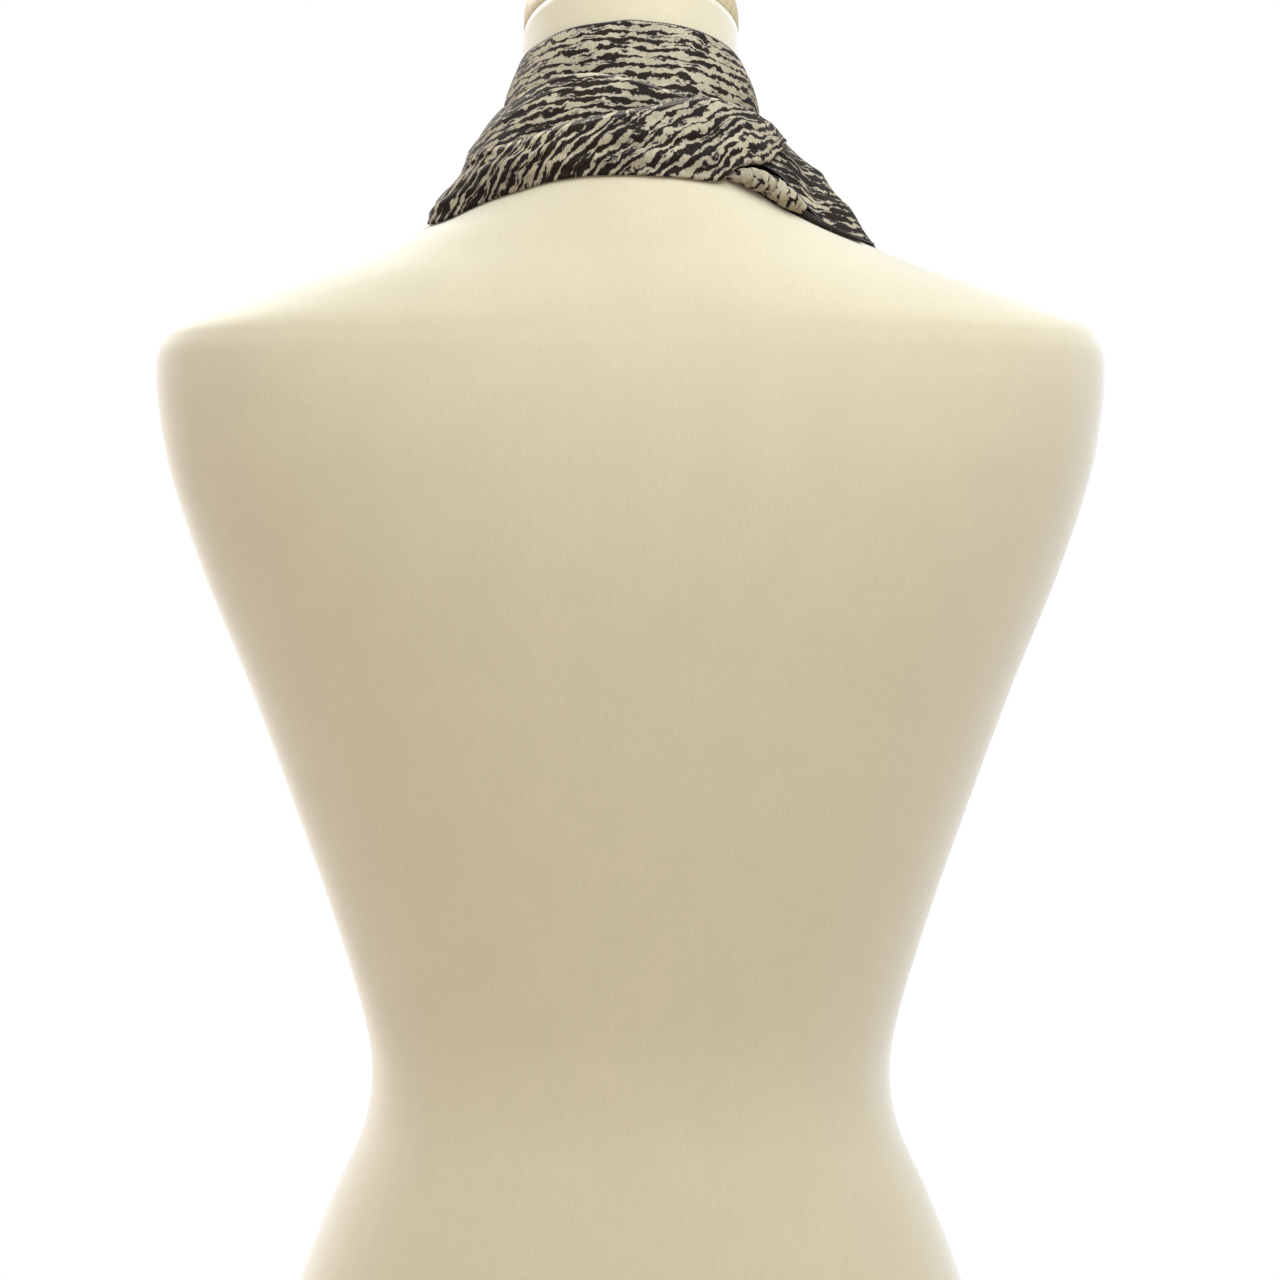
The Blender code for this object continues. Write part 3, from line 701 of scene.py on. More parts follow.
def jersey_look(settings):
    """Fine knitted jersey: uneven upright ribs on a cream ground."""
    look = Look("Cream jersey", Roughness=0.95, Sheen_Weight=0.55, Sheen_Roughness=0.5,
                Specular_IOR_Level=0.3)
    knit = look.surface("Knit")
    stitches = 1 / settings.rib_spacing
    ribs = look.patches(knit, stitches, 170, 1.0)
    fine = look.patches(knit, 0.9 * stitches, 0.9 * stitches, 1.0)
    broad = look.patches(knit, 42, 30, 3.0)
    columns = (look.parts(knit)[0] * (FULL_TURN * stitches)).wave()
    share = (ribs * 0.34 + fine * 0.36 + broad * 0.30).risen(0.30, 0.70) * 0.9 + columns * 0.05
    dark, light = (colour_of(settings.jersey_colour, brightness) for brightness in (0.95, 1.04))
    look.shade("Base Color", look.mixed(share, dark, light))
    look.bumped(ribs * 0.6 + columns * 0.2 + fine * 0.3, 0.10 * MM, 0.6)
    return look.material


def wood_look(settings, lean):
    """Light turned wood with fine fibres along X and growth lines across the grain."""
    look = Look("Turned wood", Roughness=0.5, Specular_IOR_Level=0.3)
    turned = look.add("ShaderNodeMapping", {}, {
        "Vector": look.object_place(), "Rotation": (-lean, 0, 0)}).outputs[0]
    wander = look.grain(look.stretched(turned, (14, 26, 26)))
    fibres = look.grain(look.stretched(turned, (60, 1400, 1400)), 3.0, 0.6)
    _, across, depth = look.parts(turned)
    line_spacing = 4.6 * MM
    lines = ((across + depth * 0.35 + wander * 0.012) * (FULL_TURN / line_spacing)).wave()
    share = (lines * 0.12 + 0.5 + (fibres - 0.5) * 0.9).risen(0.15, 0.85)
    look.shade("Base Color", look.mixed(
        share, colour_of(settings.dark_wood), colour_of(settings.light_wood)))
    look.shade("Roughness", fibres * 0.25 + 0.33)
    look.bumped(fibres, 0.08 * MM, 0.35)
    return look.material


def print_look(settings):
    """Fine ribbed cloth printed with thin, jagged, broken stripes."""
    look = Look("Printed stole cloth", Roughness=0.78, Sheen_Weight=0.04, Sheen_Roughness=0.4,
                Specular_IOR_Level=0.05)
    place = look.surface("Print")
    weave = look.surface("Weave")
    along, across, _ = look.parts(place)
    length, _, _ = look.parts(weave)

    # The rows that the stripes follow, and how far a place is from the middle of its row
    wander = look.patches(place, 46, 74) - 0.5
    bend = look.patches(place, 105, 150, 1.0) - 0.5
    fray = look.patches(place, 240, 300, 2.0, 0.6) - 0.5
    strayed = across + wander * PRINT_WANDER + bend * PRINT_BEND + fray * PRINT_FRAY
    rows = strayed / settings.stripe_spacing
    row = rows.whole()
    between = (rows + 0.5).whole()
    aside = ((rows - row - 0.5) * 2).size()

    # Broken strokes in the rows and links that join them, fillers between the rows, and rough rims
    step = (length / settings.rib_spacing).whole()
    dashes = look.grain(look.joined(along * 128, row * 5.31, across * 6), 2.0, 0.6) - 0.47
    links = look.grain(look.joined(along * 42, row * 3.7 + 40, across * 4)) - 0.48
    fillers = look.grain(look.joined(along * 62, between * 4.9 + 80, across * 6), 2.0, 0.6) - 0.55
    teeth = look.grain(look.joined(step * 0.93, across * 760, 0), 1.0) - 0.5
    barbs = look.grain(look.joined(along * 420 + across * 300, across * 330, 0), 1.0) - 0.5
    swell = look.patches(place, 200, 230) - 0.5
    blots = (look.patches(place, 56, 130) - 0.60).at_least(0)
    share = look.marked("Ink") + settings.stripe_share
    stroke = ((dashes + share * 0.26) * 3.6).at_most(share + 0.10 + swell * 1.1)
    stroke += blots * 6 + barbs * 0.55
    stroke = stroke.at_least((links * 2.4).at_most(0.15)) - aside
    filler = (fillers * 3.2).at_most(share - 0.18) + barbs * 0.3 - 1 + aside
    reach = stroke.at_least(filler) + teeth * 0.45
    rim = reach.risen(-0.16, 0.05)
    core = reach.risen(-0.04, 0.13)

    # The ground, ribbed, mottled and with a painted highlight (lighter ground) on the folded edges,
    # and the ink over it
    ribs = (length * (FULL_TURN / settings.rib_spacing)).wave()
    slub = look.patches(weave, 1000, 220)
    mottle = look.patches(place, 46, 38, 3.0)
    edge = look.marked("Fold")
    shaded = colour_of(settings.shaded_ground)
    ground = look.mixed((mottle * 0.6 + slub * 0.4).risen(0.32, 0.66),
                        shaded, colour_of(settings.ground_colour))
    ground = look.mixed(ribs * 0.16 + 0.14, ground, shaded)
    # Painted highlight: the ground is made lighter along the folded edges
    ground = look.mixed(edge * 0.7, ground, colour_of(settings.ground_colour, 1.3))
    ink = look.mixed((slub * 0.6 + mottle * 0.4).risen(0.42, 0.70),
                     colour_of(settings.stripe_colour), colour_of(settings.stripe_colour, 2.2))
    rimmed = look.mixed(rim, ground, colour_of(settings.stripe_edge))
    # The ink is thinned on the folded edges as well, as part of the painted highlight
    look.shade("Base Color", look.mixed(core * (1 - edge * 0.75), rimmed, ink))
    look.shade("Roughness", 0.80 - core * 0.10)
    look.bumped(ribs * 0.5 + slub * 0.8, 0.10 * MM, 0.5)
    return look.material


def thread_look(settings):
    """Dark twisted sewing thread."""
    look = Look("Hem thread", Roughness=0.6, Sheen_Weight=0.2)
    twist = look.grain(look.stretched(look.object_place(), (2600, 2600, 2600)))
    dark, light = (colour_of(settings.stripe_colour, brightness) for brightness in (1, 4))
    look.shade("Base Color", look.mixed(twist.risen(0.35, 0.70), dark, light))
    look.bumped(twist, 0.05 * MM, 0.5)
    return look.material


def look_of(name, make, *settings):
    """A material by its name, made when it is first asked for."""
    return bpy.data.materials.get(name) or make(*settings)


def hem_tree(settings, finish):
    """A rolled hem along a line of edges, with a thread wound round it."""
    tree = bpy.data.node_groups.new("Rolled hem", "GeometryNodeTree")
    tree.interface.new_socket("Geometry", in_out="INPUT", socket_type="NodeSocketGeometry")
    for name, size in (
            ("Hem radius", settings.hem_radius), ("Stitch spacing", settings.stitch_spacing),
            ("Thread radius", settings.thread_radius)):
        socket = tree.interface.new_socket(name, in_out="INPUT", socket_type="NodeSocketFloat")
        socket.default_value = size
    tree.interface.new_socket("Geometry", in_out="OUTPUT", socket_type="NodeSocketGeometry")

    def add(kind, values=(), **choices):
        node = tree.nodes.new(kind)
        for key, value in choices.items():
            setattr(node, key, value)
        for key, value in dict(values).items():
            if isinstance(value, bpy.types.NodeSocket):
                tree.links.new(value, node.inputs[key])
            else:
                node.inputs[key].default_value = value
        return node.outputs[0] if node.outputs else node

    def circle(sides, radius):
        return add("GeometryNodeCurvePrimitiveCircle", {"Resolution": sides, "Radius": radius})

    start = tree.nodes.new("NodeGroupInput").outputs
    radius, thread_radius = start["Hem radius"], start["Thread radius"]
    line = add("GeometryNodeMeshToCurve", {"Mesh": start["Geometry"]})
    hem = add("GeometryNodeCurveToMesh", {
        "Curve": line, "Profile Curve": circle(HEM_SIDES, radius), "Fill Caps": True})

    reach = add("ShaderNodeMath", {0: radius, 1: thread_radius}, operation="ADD")
    stitch = add("GeometryNodeCurveToMesh", {
        "Curve": circle(HEM_SIDES, reach), "Profile Curve": circle(THREAD_SIDES, thread_radius)})
    spots = add("GeometryNodeResampleCurve", {
        "Curve": line, "Length": start["Stitch spacing"]}, mode="LENGTH")
    along = add("FunctionNodeAlignRotationToVector", {
        "Vector": add("GeometryNodeInputTangent")}, axis="Z")
    slant = add("FunctionNodeRandomValue", {
        "Min": STITCH_SLANTS[0], "Max": STITCH_SLANTS[1], "Seed": STITCH_SEED}, data_type="FLOAT")
    lean = add("ShaderNodeCombineXYZ", {"X": STITCH_LEAN, "Y": slant})
    turned = add("FunctionNodeRotateRotation", {
        "Rotation": along, "Rotate By": add("FunctionNodeEulerToRotation", {"Euler": lean})},
        rotation_space="LOCAL")
    stitches = add("GeometryNodeInstanceOnPoints", {
        "Points": spots, "Instance": stitch, "Rotation": turned})
    joined = add("GeometryNodeJoinGeometry", {"Geometry": hem})
    tree.links.new(stitches, joined.node.inputs["Geometry"])
    plain = add("GeometryNodeRealizeInstances", {"Geometry": joined})
    done = add("GeometryNodeSetMaterial", {"Geometry": plain, "Material": finish})
    add("NodeGroupOutput", {"Geometry": done})
    return tree


def torso_ring(row):
    """One closed section of the torso, from +X over the back."""
    size = dict(zip(TORSO_COLUMNS, row))
    power = 2 / size["squareness"]
    lean = math.radians(size["lean"])
    ring = []
    for index in range(FORM_SEGMENTS):
        turn = FULL_TURN * index / FORM_SEGMENTS
        across = math.copysign(abs(math.cos(turn)) ** power, math.cos(turn)) * size["half_width"]
        depth = math.copysign(abs(math.sin(turn)) ** power, math.sin(turn))
        depth *= size["back"] if depth > 0 else size["front"]
        y = size["middle"] + depth * math.cos(lean)
        z = size["height"] + depth * math.sin(lean)
        if depth < 0:
            beside = (abs(across) - BUST_SPACING / 2) / BUST_WIDTH
            above = (z - BUST_HEIGHT) / BUST_RISE
            before = min(1, -depth / BUST_FROM)
            y -= BUST_DEPTH * math.exp(-beside * beside - above * above) * before
        ring.append(Vector((across, y, z)))
    return ring


def torso_mesh():
    """The torso as a fine smooth loft, with the knit's places in a UV map."""
    rings = [torso_ring(row) for row in refined(TORSO, FORM_STEPS)]
    work = bmesh.new()
    knit = work.loops.layers.uv.new("Knit")
    lines = [[work.verts.new(point) for point in ring] for ring in rings]
    around = []
    for ring in rings:
        lengths = [(after - before).length for before, after in zip(ring, ring[1:] + ring[:1])]
        places = np.concatenate([[0], np.cumsum(lengths)])
        around.append([places - places[FORM_SEGMENTS * quarter // 4] for quarter in (1, 3)])
    for low in range(len(lines) - 1):
        for index in range(FORM_SEGMENTS):
            half = index // (FORM_SEGMENTS // 2)
            corners = ((low, index), (low, index + 1), (low + 1, index + 1), (low + 1, index))
            face = work.faces.new([lines[row][place % FORM_SEGMENTS] for row, place in corners])
            for loop, (row, place) in zip(face.loops, corners):
                loop[knit].uv = (around[row][half][place], loop.vert.co.z)
            face.smooth = True
    for ring, order in ((lines[0], -1), (lines[-1], 1)):
        for loop in work.faces.new(ring[::order]).loops:
            loop[knit].uv = (loop.vert.co.x, loop.vert.co.y)
    mesh = bpy.data.meshes.new("jersey_form")
    work.to_mesh(mesh)
    work.free()
    return mesh


def cap_mesh(settings):
    """The turned cap: its profile spun about its leaning axis, standing on the neck's top."""
    top = dict(zip(TORSO_COLUMNS, TORSO[-1]))
    lean = math.radians(top["lean"])
    radius, height, edge = settings.cap_radius, settings.cap_height, settings.cap_edge
    profile = []
    for step in range(CAP_CROWN_STEPS):
        share = step / CAP_CROWN_STEPS
        profile.append(((radius - edge) * share, height + CAP_CROWN * (1 - share ** 2)))
    for step in range(CAP_EDGE_STEPS + 1):
        turn = math.pi / 2 * (1 - step / CAP_EDGE_STEPS)
        profile.append(
            (radius - edge + edge * math.cos(turn), height - edge * (1 - math.sin(turn))))
    profile.append((radius, height - edge - 2 * MM))
    profile += [(radius - inwards * MM, up * MM) for inwards, up in CAP_FOOT]
    turns = [FULL_TURN * step / CAP_STEPS for step in range(CAP_STEPS)]
    points = [Vector((0, 0, profile[0][1]))]
    points += [Vector((across * math.cos(turn), across * math.sin(turn), up))
               for across, up in profile[1:] for turn in turns]
    points.append(Vector())
    last = len(points) - 1
    faces = []
    for step in range(CAP_STEPS):
        after = (step + 1) % CAP_STEPS
        faces.append((0, 1 + step, 1 + after))
        faces += [(ring + step, ring + CAP_STEPS + step, ring + CAP_STEPS + after, ring + after)
                  for ring in range(1, last - CAP_STEPS, CAP_STEPS)]
        faces.append((last, last - CAP_STEPS + after, last - CAP_STEPS + step))
    tilt = Matrix.Rotation(lean, 3, "X")
    seat = Vector((0, top["middle"], top["height"])) + tilt @ Vector((0, 0, CAP_SEAM))
    mesh = bpy.data.meshes.new("wooden_cap")
    mesh.from_pydata([tilt @ point + seat for point in points], [], faces)
    mesh.shade_smooth()
    return mesh


def neck_axis(height):
    """The point of the neck's axis at a height."""
    return Vector((0, NECK_AXIS_Y - NECK_AXIS_SLOPE * max(0, height - NECK_AXIS_FROM), height))


def round_neck(form, angle, height, gap):
    """The point at an angle and a height round the neck, a gap outside the form.

    The angle is in degrees, and the height and the gap are in millimetres.
    """
    turn = math.radians(angle)
    outwards = Vector((-math.sin(turn), math.cos(turn), 0))
    found = form.ray_cast(neck_axis(height * MM) + outwards, -outwards)[0]
    return found + outwards * gap * MM


def before_form(form, side, height, gap):
    """The point in front of the form at a place across it and a height, a gap before it."""
    found = form.ray_cast(Vector((side * MM, -1, height * MM)), Vector((0, 1, 0)))[0]
    return found - Vector((0, gap * MM, 0))


def band_edges(form, table, per_row):
    """The upper and lower edge points, bulge and fold of a stretch round the neck."""
    edges = []
    for row in refined(table, per_row):
        size = dict(zip(BAND_COLUMNS, row))
        upper = round_neck(form, size["up_angle"], size["up_height"], size["up_gap"])
        lower = round_neck(form, size["low_angle"], size["low_height"], size["low_gap"])
        edges.append((*upper, *lower, size["bulge"] * MM, size["fold"] * MM))
    return edges


def tail_edges(form, table, side):
    """The inner and outer edge points, bulge and pleat of a hanging end; side is 1 for +X."""
    edges = []
    for row in table:
        size = dict(zip(TAIL_COLUMNS, row))
        inner = before_form(form, side * size["inner_side"], size["inner_height"], size["gap"])
        outer = before_form(form, side * size["outer_side"], size["outer_height"], size["gap"])
        edges.append((*inner, *outer, size["bulge"] * MM, size["pleat"] * MM))
    return edges


def lengths_along(rows):
    """How far each of a stretch's edge rows is along its middle line."""
    middles = (rows[:, 0:3] + rows[:, 3:6]) / 2
    return np.concatenate([[0], np.cumsum(np.linalg.norm(np.diff(middles, axis=0), axis=1))])


def strand_of(table, tail, side):
    """A stretch's edge rows round the neck, then even steps of the hanging end after it."""
    form = solid_form()
    band = band_edges(form, table, WRAP_STEPS)
    rows = np.array(band[-3:] + tail_edges(form, tail, side))
    places = lengths_along(rows)
    hanging = smooth(places, rows, np.linspace(places[2], places[-1], TAIL_STEPS + 1)[1:])
    return np.vstack([band, hanging])


def curled(curl):
    """Places on a curled edge and how far each lies in; a curl is (height, depth, lip), or None."""
    if not curl:
        return []
    height, depth, lip = curl
    turns = [math.pi * step / CURL_STEPS for step in range(CURL_STEPS)]
    return [(height + lip, -2 * depth)] + [
        (height * (1 - math.sin(turn)), -depth * (1 + math.cos(turn))) for turn in turns]


def profile_across(width, across, top_curl, low_curl):
    """Places across a stretch from its upper edge, and how far each lies in."""
    first = top_curl[0] if top_curl else 0
    last = width - (low_curl[0] if low_curl else 0)
    main = [(first + (last - first) * step / across, 0) for step in range(across + 1)]
    low = [(width - place, depth) for place, depth in reversed(curled(low_curl))]
    return curled(top_curl) + main + low


def creased(along, down, creases):
    """How far the creases lift or sink a place of the cloth; all in millimetres."""
    lift = 0.0
    for row in creases:
        crease = dict(zip(CREASE_COLUMNS, row))
        slant = math.radians(crease["slant"])
        ahead = along - crease["along"]
        beside = down - crease["down"]
        on = (ahead * math.cos(slant) + beside * math.sin(slant)) / (crease["length"] / 2)
        off = (beside * math.cos(slant) - ahead * math.sin(slant)) / crease["half_width"]
        if abs(on) < 1:
            lift += crease["height"] * (1 - on * on) ** 2 * math.exp(-off * off)
    return lift


def outwards_of(rows, index, closed):
    """The direction away from the form at one of a stretch's edge rows."""
    count = len(rows)
    before = rows[(index - 1) % count if closed else max(index - 1, 0)]
    after = rows[(index + 1) % count if closed else min(index + 1, count - 1)]
    forwards = Vector((after[0:3] + after[3:6] - before[0:3] - before[3:6]) / 2)
    upper, lower = Vector(rows[index][0:3]), Vector(rows[index][3:6])
    outwards = (lower - upper).cross(forwards).normalized()
    middle = (upper + lower) / 2
    if outwards.dot(middle - neck_axis(middle.z)) < 0:
        outwards.negate()
    return outwards


def cloth_points(rows, across, waves, creases, top_curl=None, low_curl=None, closed=False,
                 wander=0.0):
    """A stretch's points, and for each the place along and across the cloth in metres."""
    points, places = [], []
    for index, (row, length) in enumerate(zip(rows, lengths_along(rows))):
        upper, lower = Vector(row[0:3]), Vector(row[3:6])
        outwards = outwards_of(rows, index, closed)
        width = (lower - upper).length / MM
        down = (lower - upper).normalized()
        along = length / MM
        sway = sum(math.sin(along / spacing + start) * share
                   for spacing, start, share in WANDER_WAVES)
        line = []
        for place, depth in profile_across(width, across, top_curl, low_curl):
            t = min(1, max(0, place / width))
            shifted = t + wander * math.sin(math.pi * t) * sway
            fading = min(1, 4 * t, 4 * (1 - t))
            lift = row[6] * math.sin(math.pi * t) + row[7] * math.sin(FULL_TURN * waves * shifted)
            lift += MM * (depth + creased(along, place - width / 2, creases) * fading)
            point = upper + down * place * MM + outwards * lift
            line.append(point + outwards * (noise.noise(point * NATURAL_SCALE) * NATURAL_LIFT))
        cuts = [0] + [(second - first).length for first, second in zip(line, line[1:])]
        points.append(line)
        places.append([(length, mark) for mark in np.cumsum(cuts) - sum(cuts) / 2])
    return points, places


def shortfall(point, obstacles):
    """The move that lifts a point clear of what lies under it.

    The obstacles are pairs of a search tree and the distance that the point stays off it.
    """
    move = Vector()
    for tree, distance in obstacles:
        found, normal, _, far = tree.find_nearest(point + move, REACH)
        if found is None:
            continue
        depth = (point + move - found).dot(normal)
        if abs(depth) > FACING_SHARE * far and depth < distance:
            move += normal * (distance - depth)
    return move


def softened(moves):
    """Moves evened out with those of the neighbours, twice along each axis of the grid."""
    for axis in (0, 1, 0, 1):
        last = moves.shape[axis] - 1
        places = np.arange(last + 1)
        ahead = np.take(moves, np.minimum(places + 1, last), axis)
        behind = np.take(moves, np.maximum(places - 1, 0), axis)
        moves = (moves * 2 + ahead + behind) / 4
    return moves


def settled(points, obstacles):
    """A stretch's points lifted clear of what lies under them, softly at first and then singly."""
    grid = grid_of(points)
    for turn in range(SETTLING_PASSES):
        moves = grid_of([[shortfall(Vector(point), obstacles) for point in line] for line in grid])
        if turn < SETTLING_PASSES - 1:
            moves = softened(moves) * SETTLING_PUSH
        grid += moves
    return grid


def print_places(places, turns):
    """The print's own coordinates: the cloth's places, turned slowly along the stretch."""
    lengths = np.array([line[0][0] for line in places])
    angles = np.radians(np.interp(lengths / MM, *zip(*turns)))
    steps = np.diff(lengths, prepend=lengths[0])
    along = np.cumsum(steps * np.cos(angles))
    across = np.cumsum(steps * np.sin(angles))
    return [[(first - mark * math.sin(angle), second + mark * math.cos(angle)) for _, mark in line]
            for line, angle, first, second in zip(places, angles, along, across)]


def facing(points, faces):
    """More than 0 where the faces look away from the neck and the form."""
    total = 0.0
    for face in faces:
        corners = [points[index] for index in face]
        centre = sum(corners, Vector()) / 4
        turned = (corners[2] - corners[0]).cross(corners[3] - corners[1])
        total += turned.dot(centre - neck_axis(centre.z))
    return total


def cloth_mesh(name, grid, places, folds=(), closed=False):
    """A mesh through the points, facing away from the form, with the Print and Weave maps.

    Its Ink attribute is more where the print is denser, and its fold attribute, which places a
    painted highlight, is 1 on the folded edges' lines.
    """
    turns, start, ink = PRINTS[name]
    rows, columns = len(grid), len(grid[0])
    printed = print_places(places, turns)
    if closed:
        seam = places[-1][0][0] + float(np.linalg.norm(np.mean(grid[0] - grid[-1], axis=0)))
        join = printed[-1][0][0] + seam - places[-1][0][0]
        places = places + [[(seam, mark) for _, mark in places[0]]]
        printed = printed + [[(join, second) for _, second in printed[0]]]
    spots = [((row, column), (row, column + 1), (row + 1, column + 1), (row + 1, column))
             for row in range(len(places) - 1) for column in range(columns - 1)]
    faces = [[row % rows * columns + column for row, column in spot] for spot in spots]
    points = [Vector(point) for line in grid for point in line]
    if facing(points, faces) < 0:
        faces = [face[::-1] for face in faces]
        spots = [spot[::-1] for spot in spots]
    mesh = bpy.data.meshes.new(name)
    mesh.from_pydata(points, [], faces)
    mesh["columns"] = columns
    for label, source, offset in (("Print", printed, start), ("Weave", places, (0, 0))):
        values = [np.add(source[row][column], offset) for spot in spots for row, column in spot]
        mesh.uv_layers.new(name=label).data.foreach_set("uv", np.array(values, np.float32).ravel())
    for label, values in (("Ink", np.full(columns, ink)), ("Fold", np.isin(range(columns), folds))):
        layer = mesh.attributes.new(label, "FLOAT", "POINT")
        layer.data.foreach_set("value", np.tile(values.astype(np.float32), rows))
    mesh.update()
    mesh.shade_smooth()
    return mesh


def printed_piece(name, mesh, settings, *nodes):
    """A finished stretch of printed cloth, standing for CAD nodes."""
    finish = look_of("Printed stole cloth", print_look, settings)
    piece = put(name, mesh, finish)
    if nodes:
        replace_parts(piece, *nodes)
    return piece


def cloth_piece(name, mesh, settings, *nodes):
    """A finished stretch of printed cloth with its thickness, standing for CAD nodes."""
    wall = printed_piece(name, mesh, settings, *nodes).modifiers.new("Wall", "SOLIDIFY")
    wall.thickness = settings.thickness
    wall.offset = 1
    wall.use_even_offset = False


def beneath(settings, *names):
    """Search trees of the form and the pieces under a stretch, and how far it stays off each."""
    found = [(tree_of(bpy.data.objects["jersey_form"]), CLEAR)]
    for name in names:
        clear = COWL_CLEAR if name == "fold_cloth" else CLEAR
        found.append((tree_of(bpy.data.objects[name]), settings.thickness + clear))
    return found


def roll_share(along, turn):
    """The rolled edge's radius as a share of the full one, sunk at its slanting grooves."""
    share = ROLL_FULLNESS
    for row in ROLL_GROOVES:
        groove = dict(zip(GROOVE_COLUMNS, row))
        off = (along - groove["along"] - groove["lean"] * math.cos(turn)) / groove["half_width"]
        share -= groove["depth"] * math.exp(-off * off)
    return share


def roll_lines(form):
    """The rolled edge's rings of points, and for each point the place on the cloth."""
    sizes = [dict(zip(ROLL_COLUMNS, row)) for row in refined(SHOULDER_ROLL, ROLL_ROWS)]
    middles = []
    for size in sizes:
        found, normal, _, _ = form.find_nearest(round_neck(form, size["angle"], size["height"], 0))
        middles.append(found + normal * (size["thickness"] * ROLL_RADIUS + CLEAR))
    points, places, along = [], [], 0.0
    turns = [FULL_TURN * step / ROLL_SIDES for step in range(ROLL_SIDES + 1)]
    for index, (middle, size) in enumerate(zip(middles, sizes)):
        after = middles[min(index + 1, len(middles) - 1)]
        forwards = (after - middles[max(index - 1, 0)]).normalized()
        aside = forwards.cross(Vector((0, 0, 1))).normalized()
        above = aside.cross(forwards)
        if index:
            along += (middle - middles[index - 1]).length
        line = []
        for turn in turns:
            radius = size["thickness"] * ROLL_RADIUS * roll_share(along / MM, turn)
            line.append(middle + (aside * math.cos(turn) + above * math.sin(turn)) * radius)
        points.append(line)
        places.append([(along, turn * ROLL_RADIUS) for turn in turns])
    return grid_of(points), places


def tucked_lines(form):
    """The lines of the cloth behind the roll and under the drape, and the places on it."""
    points, places, along = [], [], 0.0
    for row in refined(TUCKED_CLOTH, ROLL_ROWS):
        size = dict(zip(TUCKED_COLUMNS, row))
        rises = [size["rise"] * step / TUCKED_LINES for step in range(TUCKED_LINES + 1)]
        line = []
        for rise in rises:
            wave = math.sin(rise / TUCKED_WAVE_RISE + size["angle"] / TUCKED_WAVE_ANGLE)
            gap = TUCKED_GAP + TUCKED_LEAN * rise + TUCKED_WAVE * wave
            line.append(round_neck(form, size["angle"], size["height"] + rise, gap))
        if points:
            along += (line[0] - points[-1][0]).length
        points.append(line)
        places.append([(along, rise * MM) for rise in rises])
    return grid_of(points), places


def close_tube(mesh):
    """Joins a tube's first and last columns and closes its ends."""
    work = bmesh.new()
    work.from_mesh(mesh)
    bmesh.ops.remove_doubles(work, verts=work.verts, dist=0.001 * MM)
    bmesh.ops.holes_fill(work, edges=[edge for edge in work.edges if edge.is_boundary], sides=0)
    bmesh.ops.recalc_face_normals(work, faces=work.faces)
    work.to_mesh(mesh)
    work.free()


def edge_line(mesh, column, round_end, thickness):
    """Points along a stretch's edge, in the middle of the cloth, and back across its end."""
    columns = mesh["columns"]
    rows = len(mesh.vertices) // columns
    spots = []
    if column is not None:
        spots = [row * columns + column % columns for row in range(rows)]
    if round_end:
        end = [(rows - 1) * columns + place for place in range(columns)]
        spots += end[-2::-1] if spots else end
    verts = [mesh.vertices[spot] for spot in spots]
    return [vert.co + vert.normal * thickness / 2 for vert in verts]


class STOLE_OT_form(bpy.types.Operator):
    """Make the jersey-covered dress form"""

    bl_idname = "stole.form"
    bl_label = "Dress form"

    def execute(self, context):
        finish = look_of("Cream jersey", jersey_look, context.scene.stole_form)
        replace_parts(put("jersey_form", torso_mesh(), finish), "torso")
        return {"FINISHED"}


class STOLE_OT_cap(bpy.types.Operator):
    """Make the turned wooden cap on the neck"""

    bl_idname = "stole.cap"
    bl_label = "Wooden cap"

    def execute(self, context):
        settings = context.scene.stole_form
        lean = math.radians(dict(zip(TORSO_COLUMNS, TORSO[-1]))["lean"])
        finish = look_of("Turned wood", wood_look, settings, lean)
        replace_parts(put("wooden_cap", cap_mesh(settings), finish), "neck_cap")
        return {"FINISHED"}


class STOLE_OT_neck_band(bpy.types.Operator):
    """Make the stole's innermost turn, round the neck"""

    bl_idname = "stole.neck_band"
    bl_label = "Neck band"

    def execute(self, context):
        settings = context.scene.stole_cloth
        half = band_edges(solid_form(), NECK_BAND, FOLD_STEPS)
        mirrored = [(-x1, y1, z1, -x2, y2, z2, *rest)
                    for x1, y1, z1, x2, y2, z2, *rest in half[:0:-1]]
        rows = refined(mirrored + half, FINER)[:-1]
        points, places = cloth_points(rows, BAND_LINES, 0, BAND_CREASES, closed=True)
        grid = settled(points, beneath(settings))
        mesh = cloth_mesh("neck_band_cloth", grid, places, closed=True)
        cloth_piece("neck_band_cloth", mesh, settings, "neck_band")
        return {"FINISHED"}


class STOLE_OT_folds(bpy.types.Operator):
    """Make the folded turn across the back and the cowl at the throat"""

    bl_idname = "stole.folds"
    bl_label = "Back fold and cowl"

    def execute(self, context):
        settings = context.scene.stole_cloth
        rows = refined(band_edges(solid_form(), BACK_FOLD + THROAT_COWL, FOLD_STEPS), FINER)
        points, places = cloth_points(rows, FOLD_LINES, FOLD_WAVES, FOLD_CREASES, FOLD_CURL)
        grid = settled(points, beneath(settings, "neck_band_cloth"))
        mesh = cloth_mesh("fold_cloth", grid, places, CURLED_COLUMNS)
        cloth_piece("fold_cloth", mesh, settings, "back_fold", "throat_cowl")
        return {"FINISHED"}


class STOLE_OT_roll(bpy.types.Operator):
    """Make the rolled edge on the shoulder, and the cloth tucked in behind it"""

    bl_idname = "stole.roll"
    bl_label = "Rolled edge"

    def execute(self, context):
        settings = context.scene.stole_cloth
        form = solid_form()
        mesh = cloth_mesh("roll_cloth", *roll_lines(form))
        close_tube(mesh)
        printed_piece("roll_cloth", mesh, settings, "shoulder_roll")
        # The tucked cloth fills the pocket behind the roll, and its near-solid ink is painted shade
        cloth_piece("tucked_cloth", cloth_mesh("tucked_cloth", *tucked_lines(form)), settings)
        return {"FINISHED"}


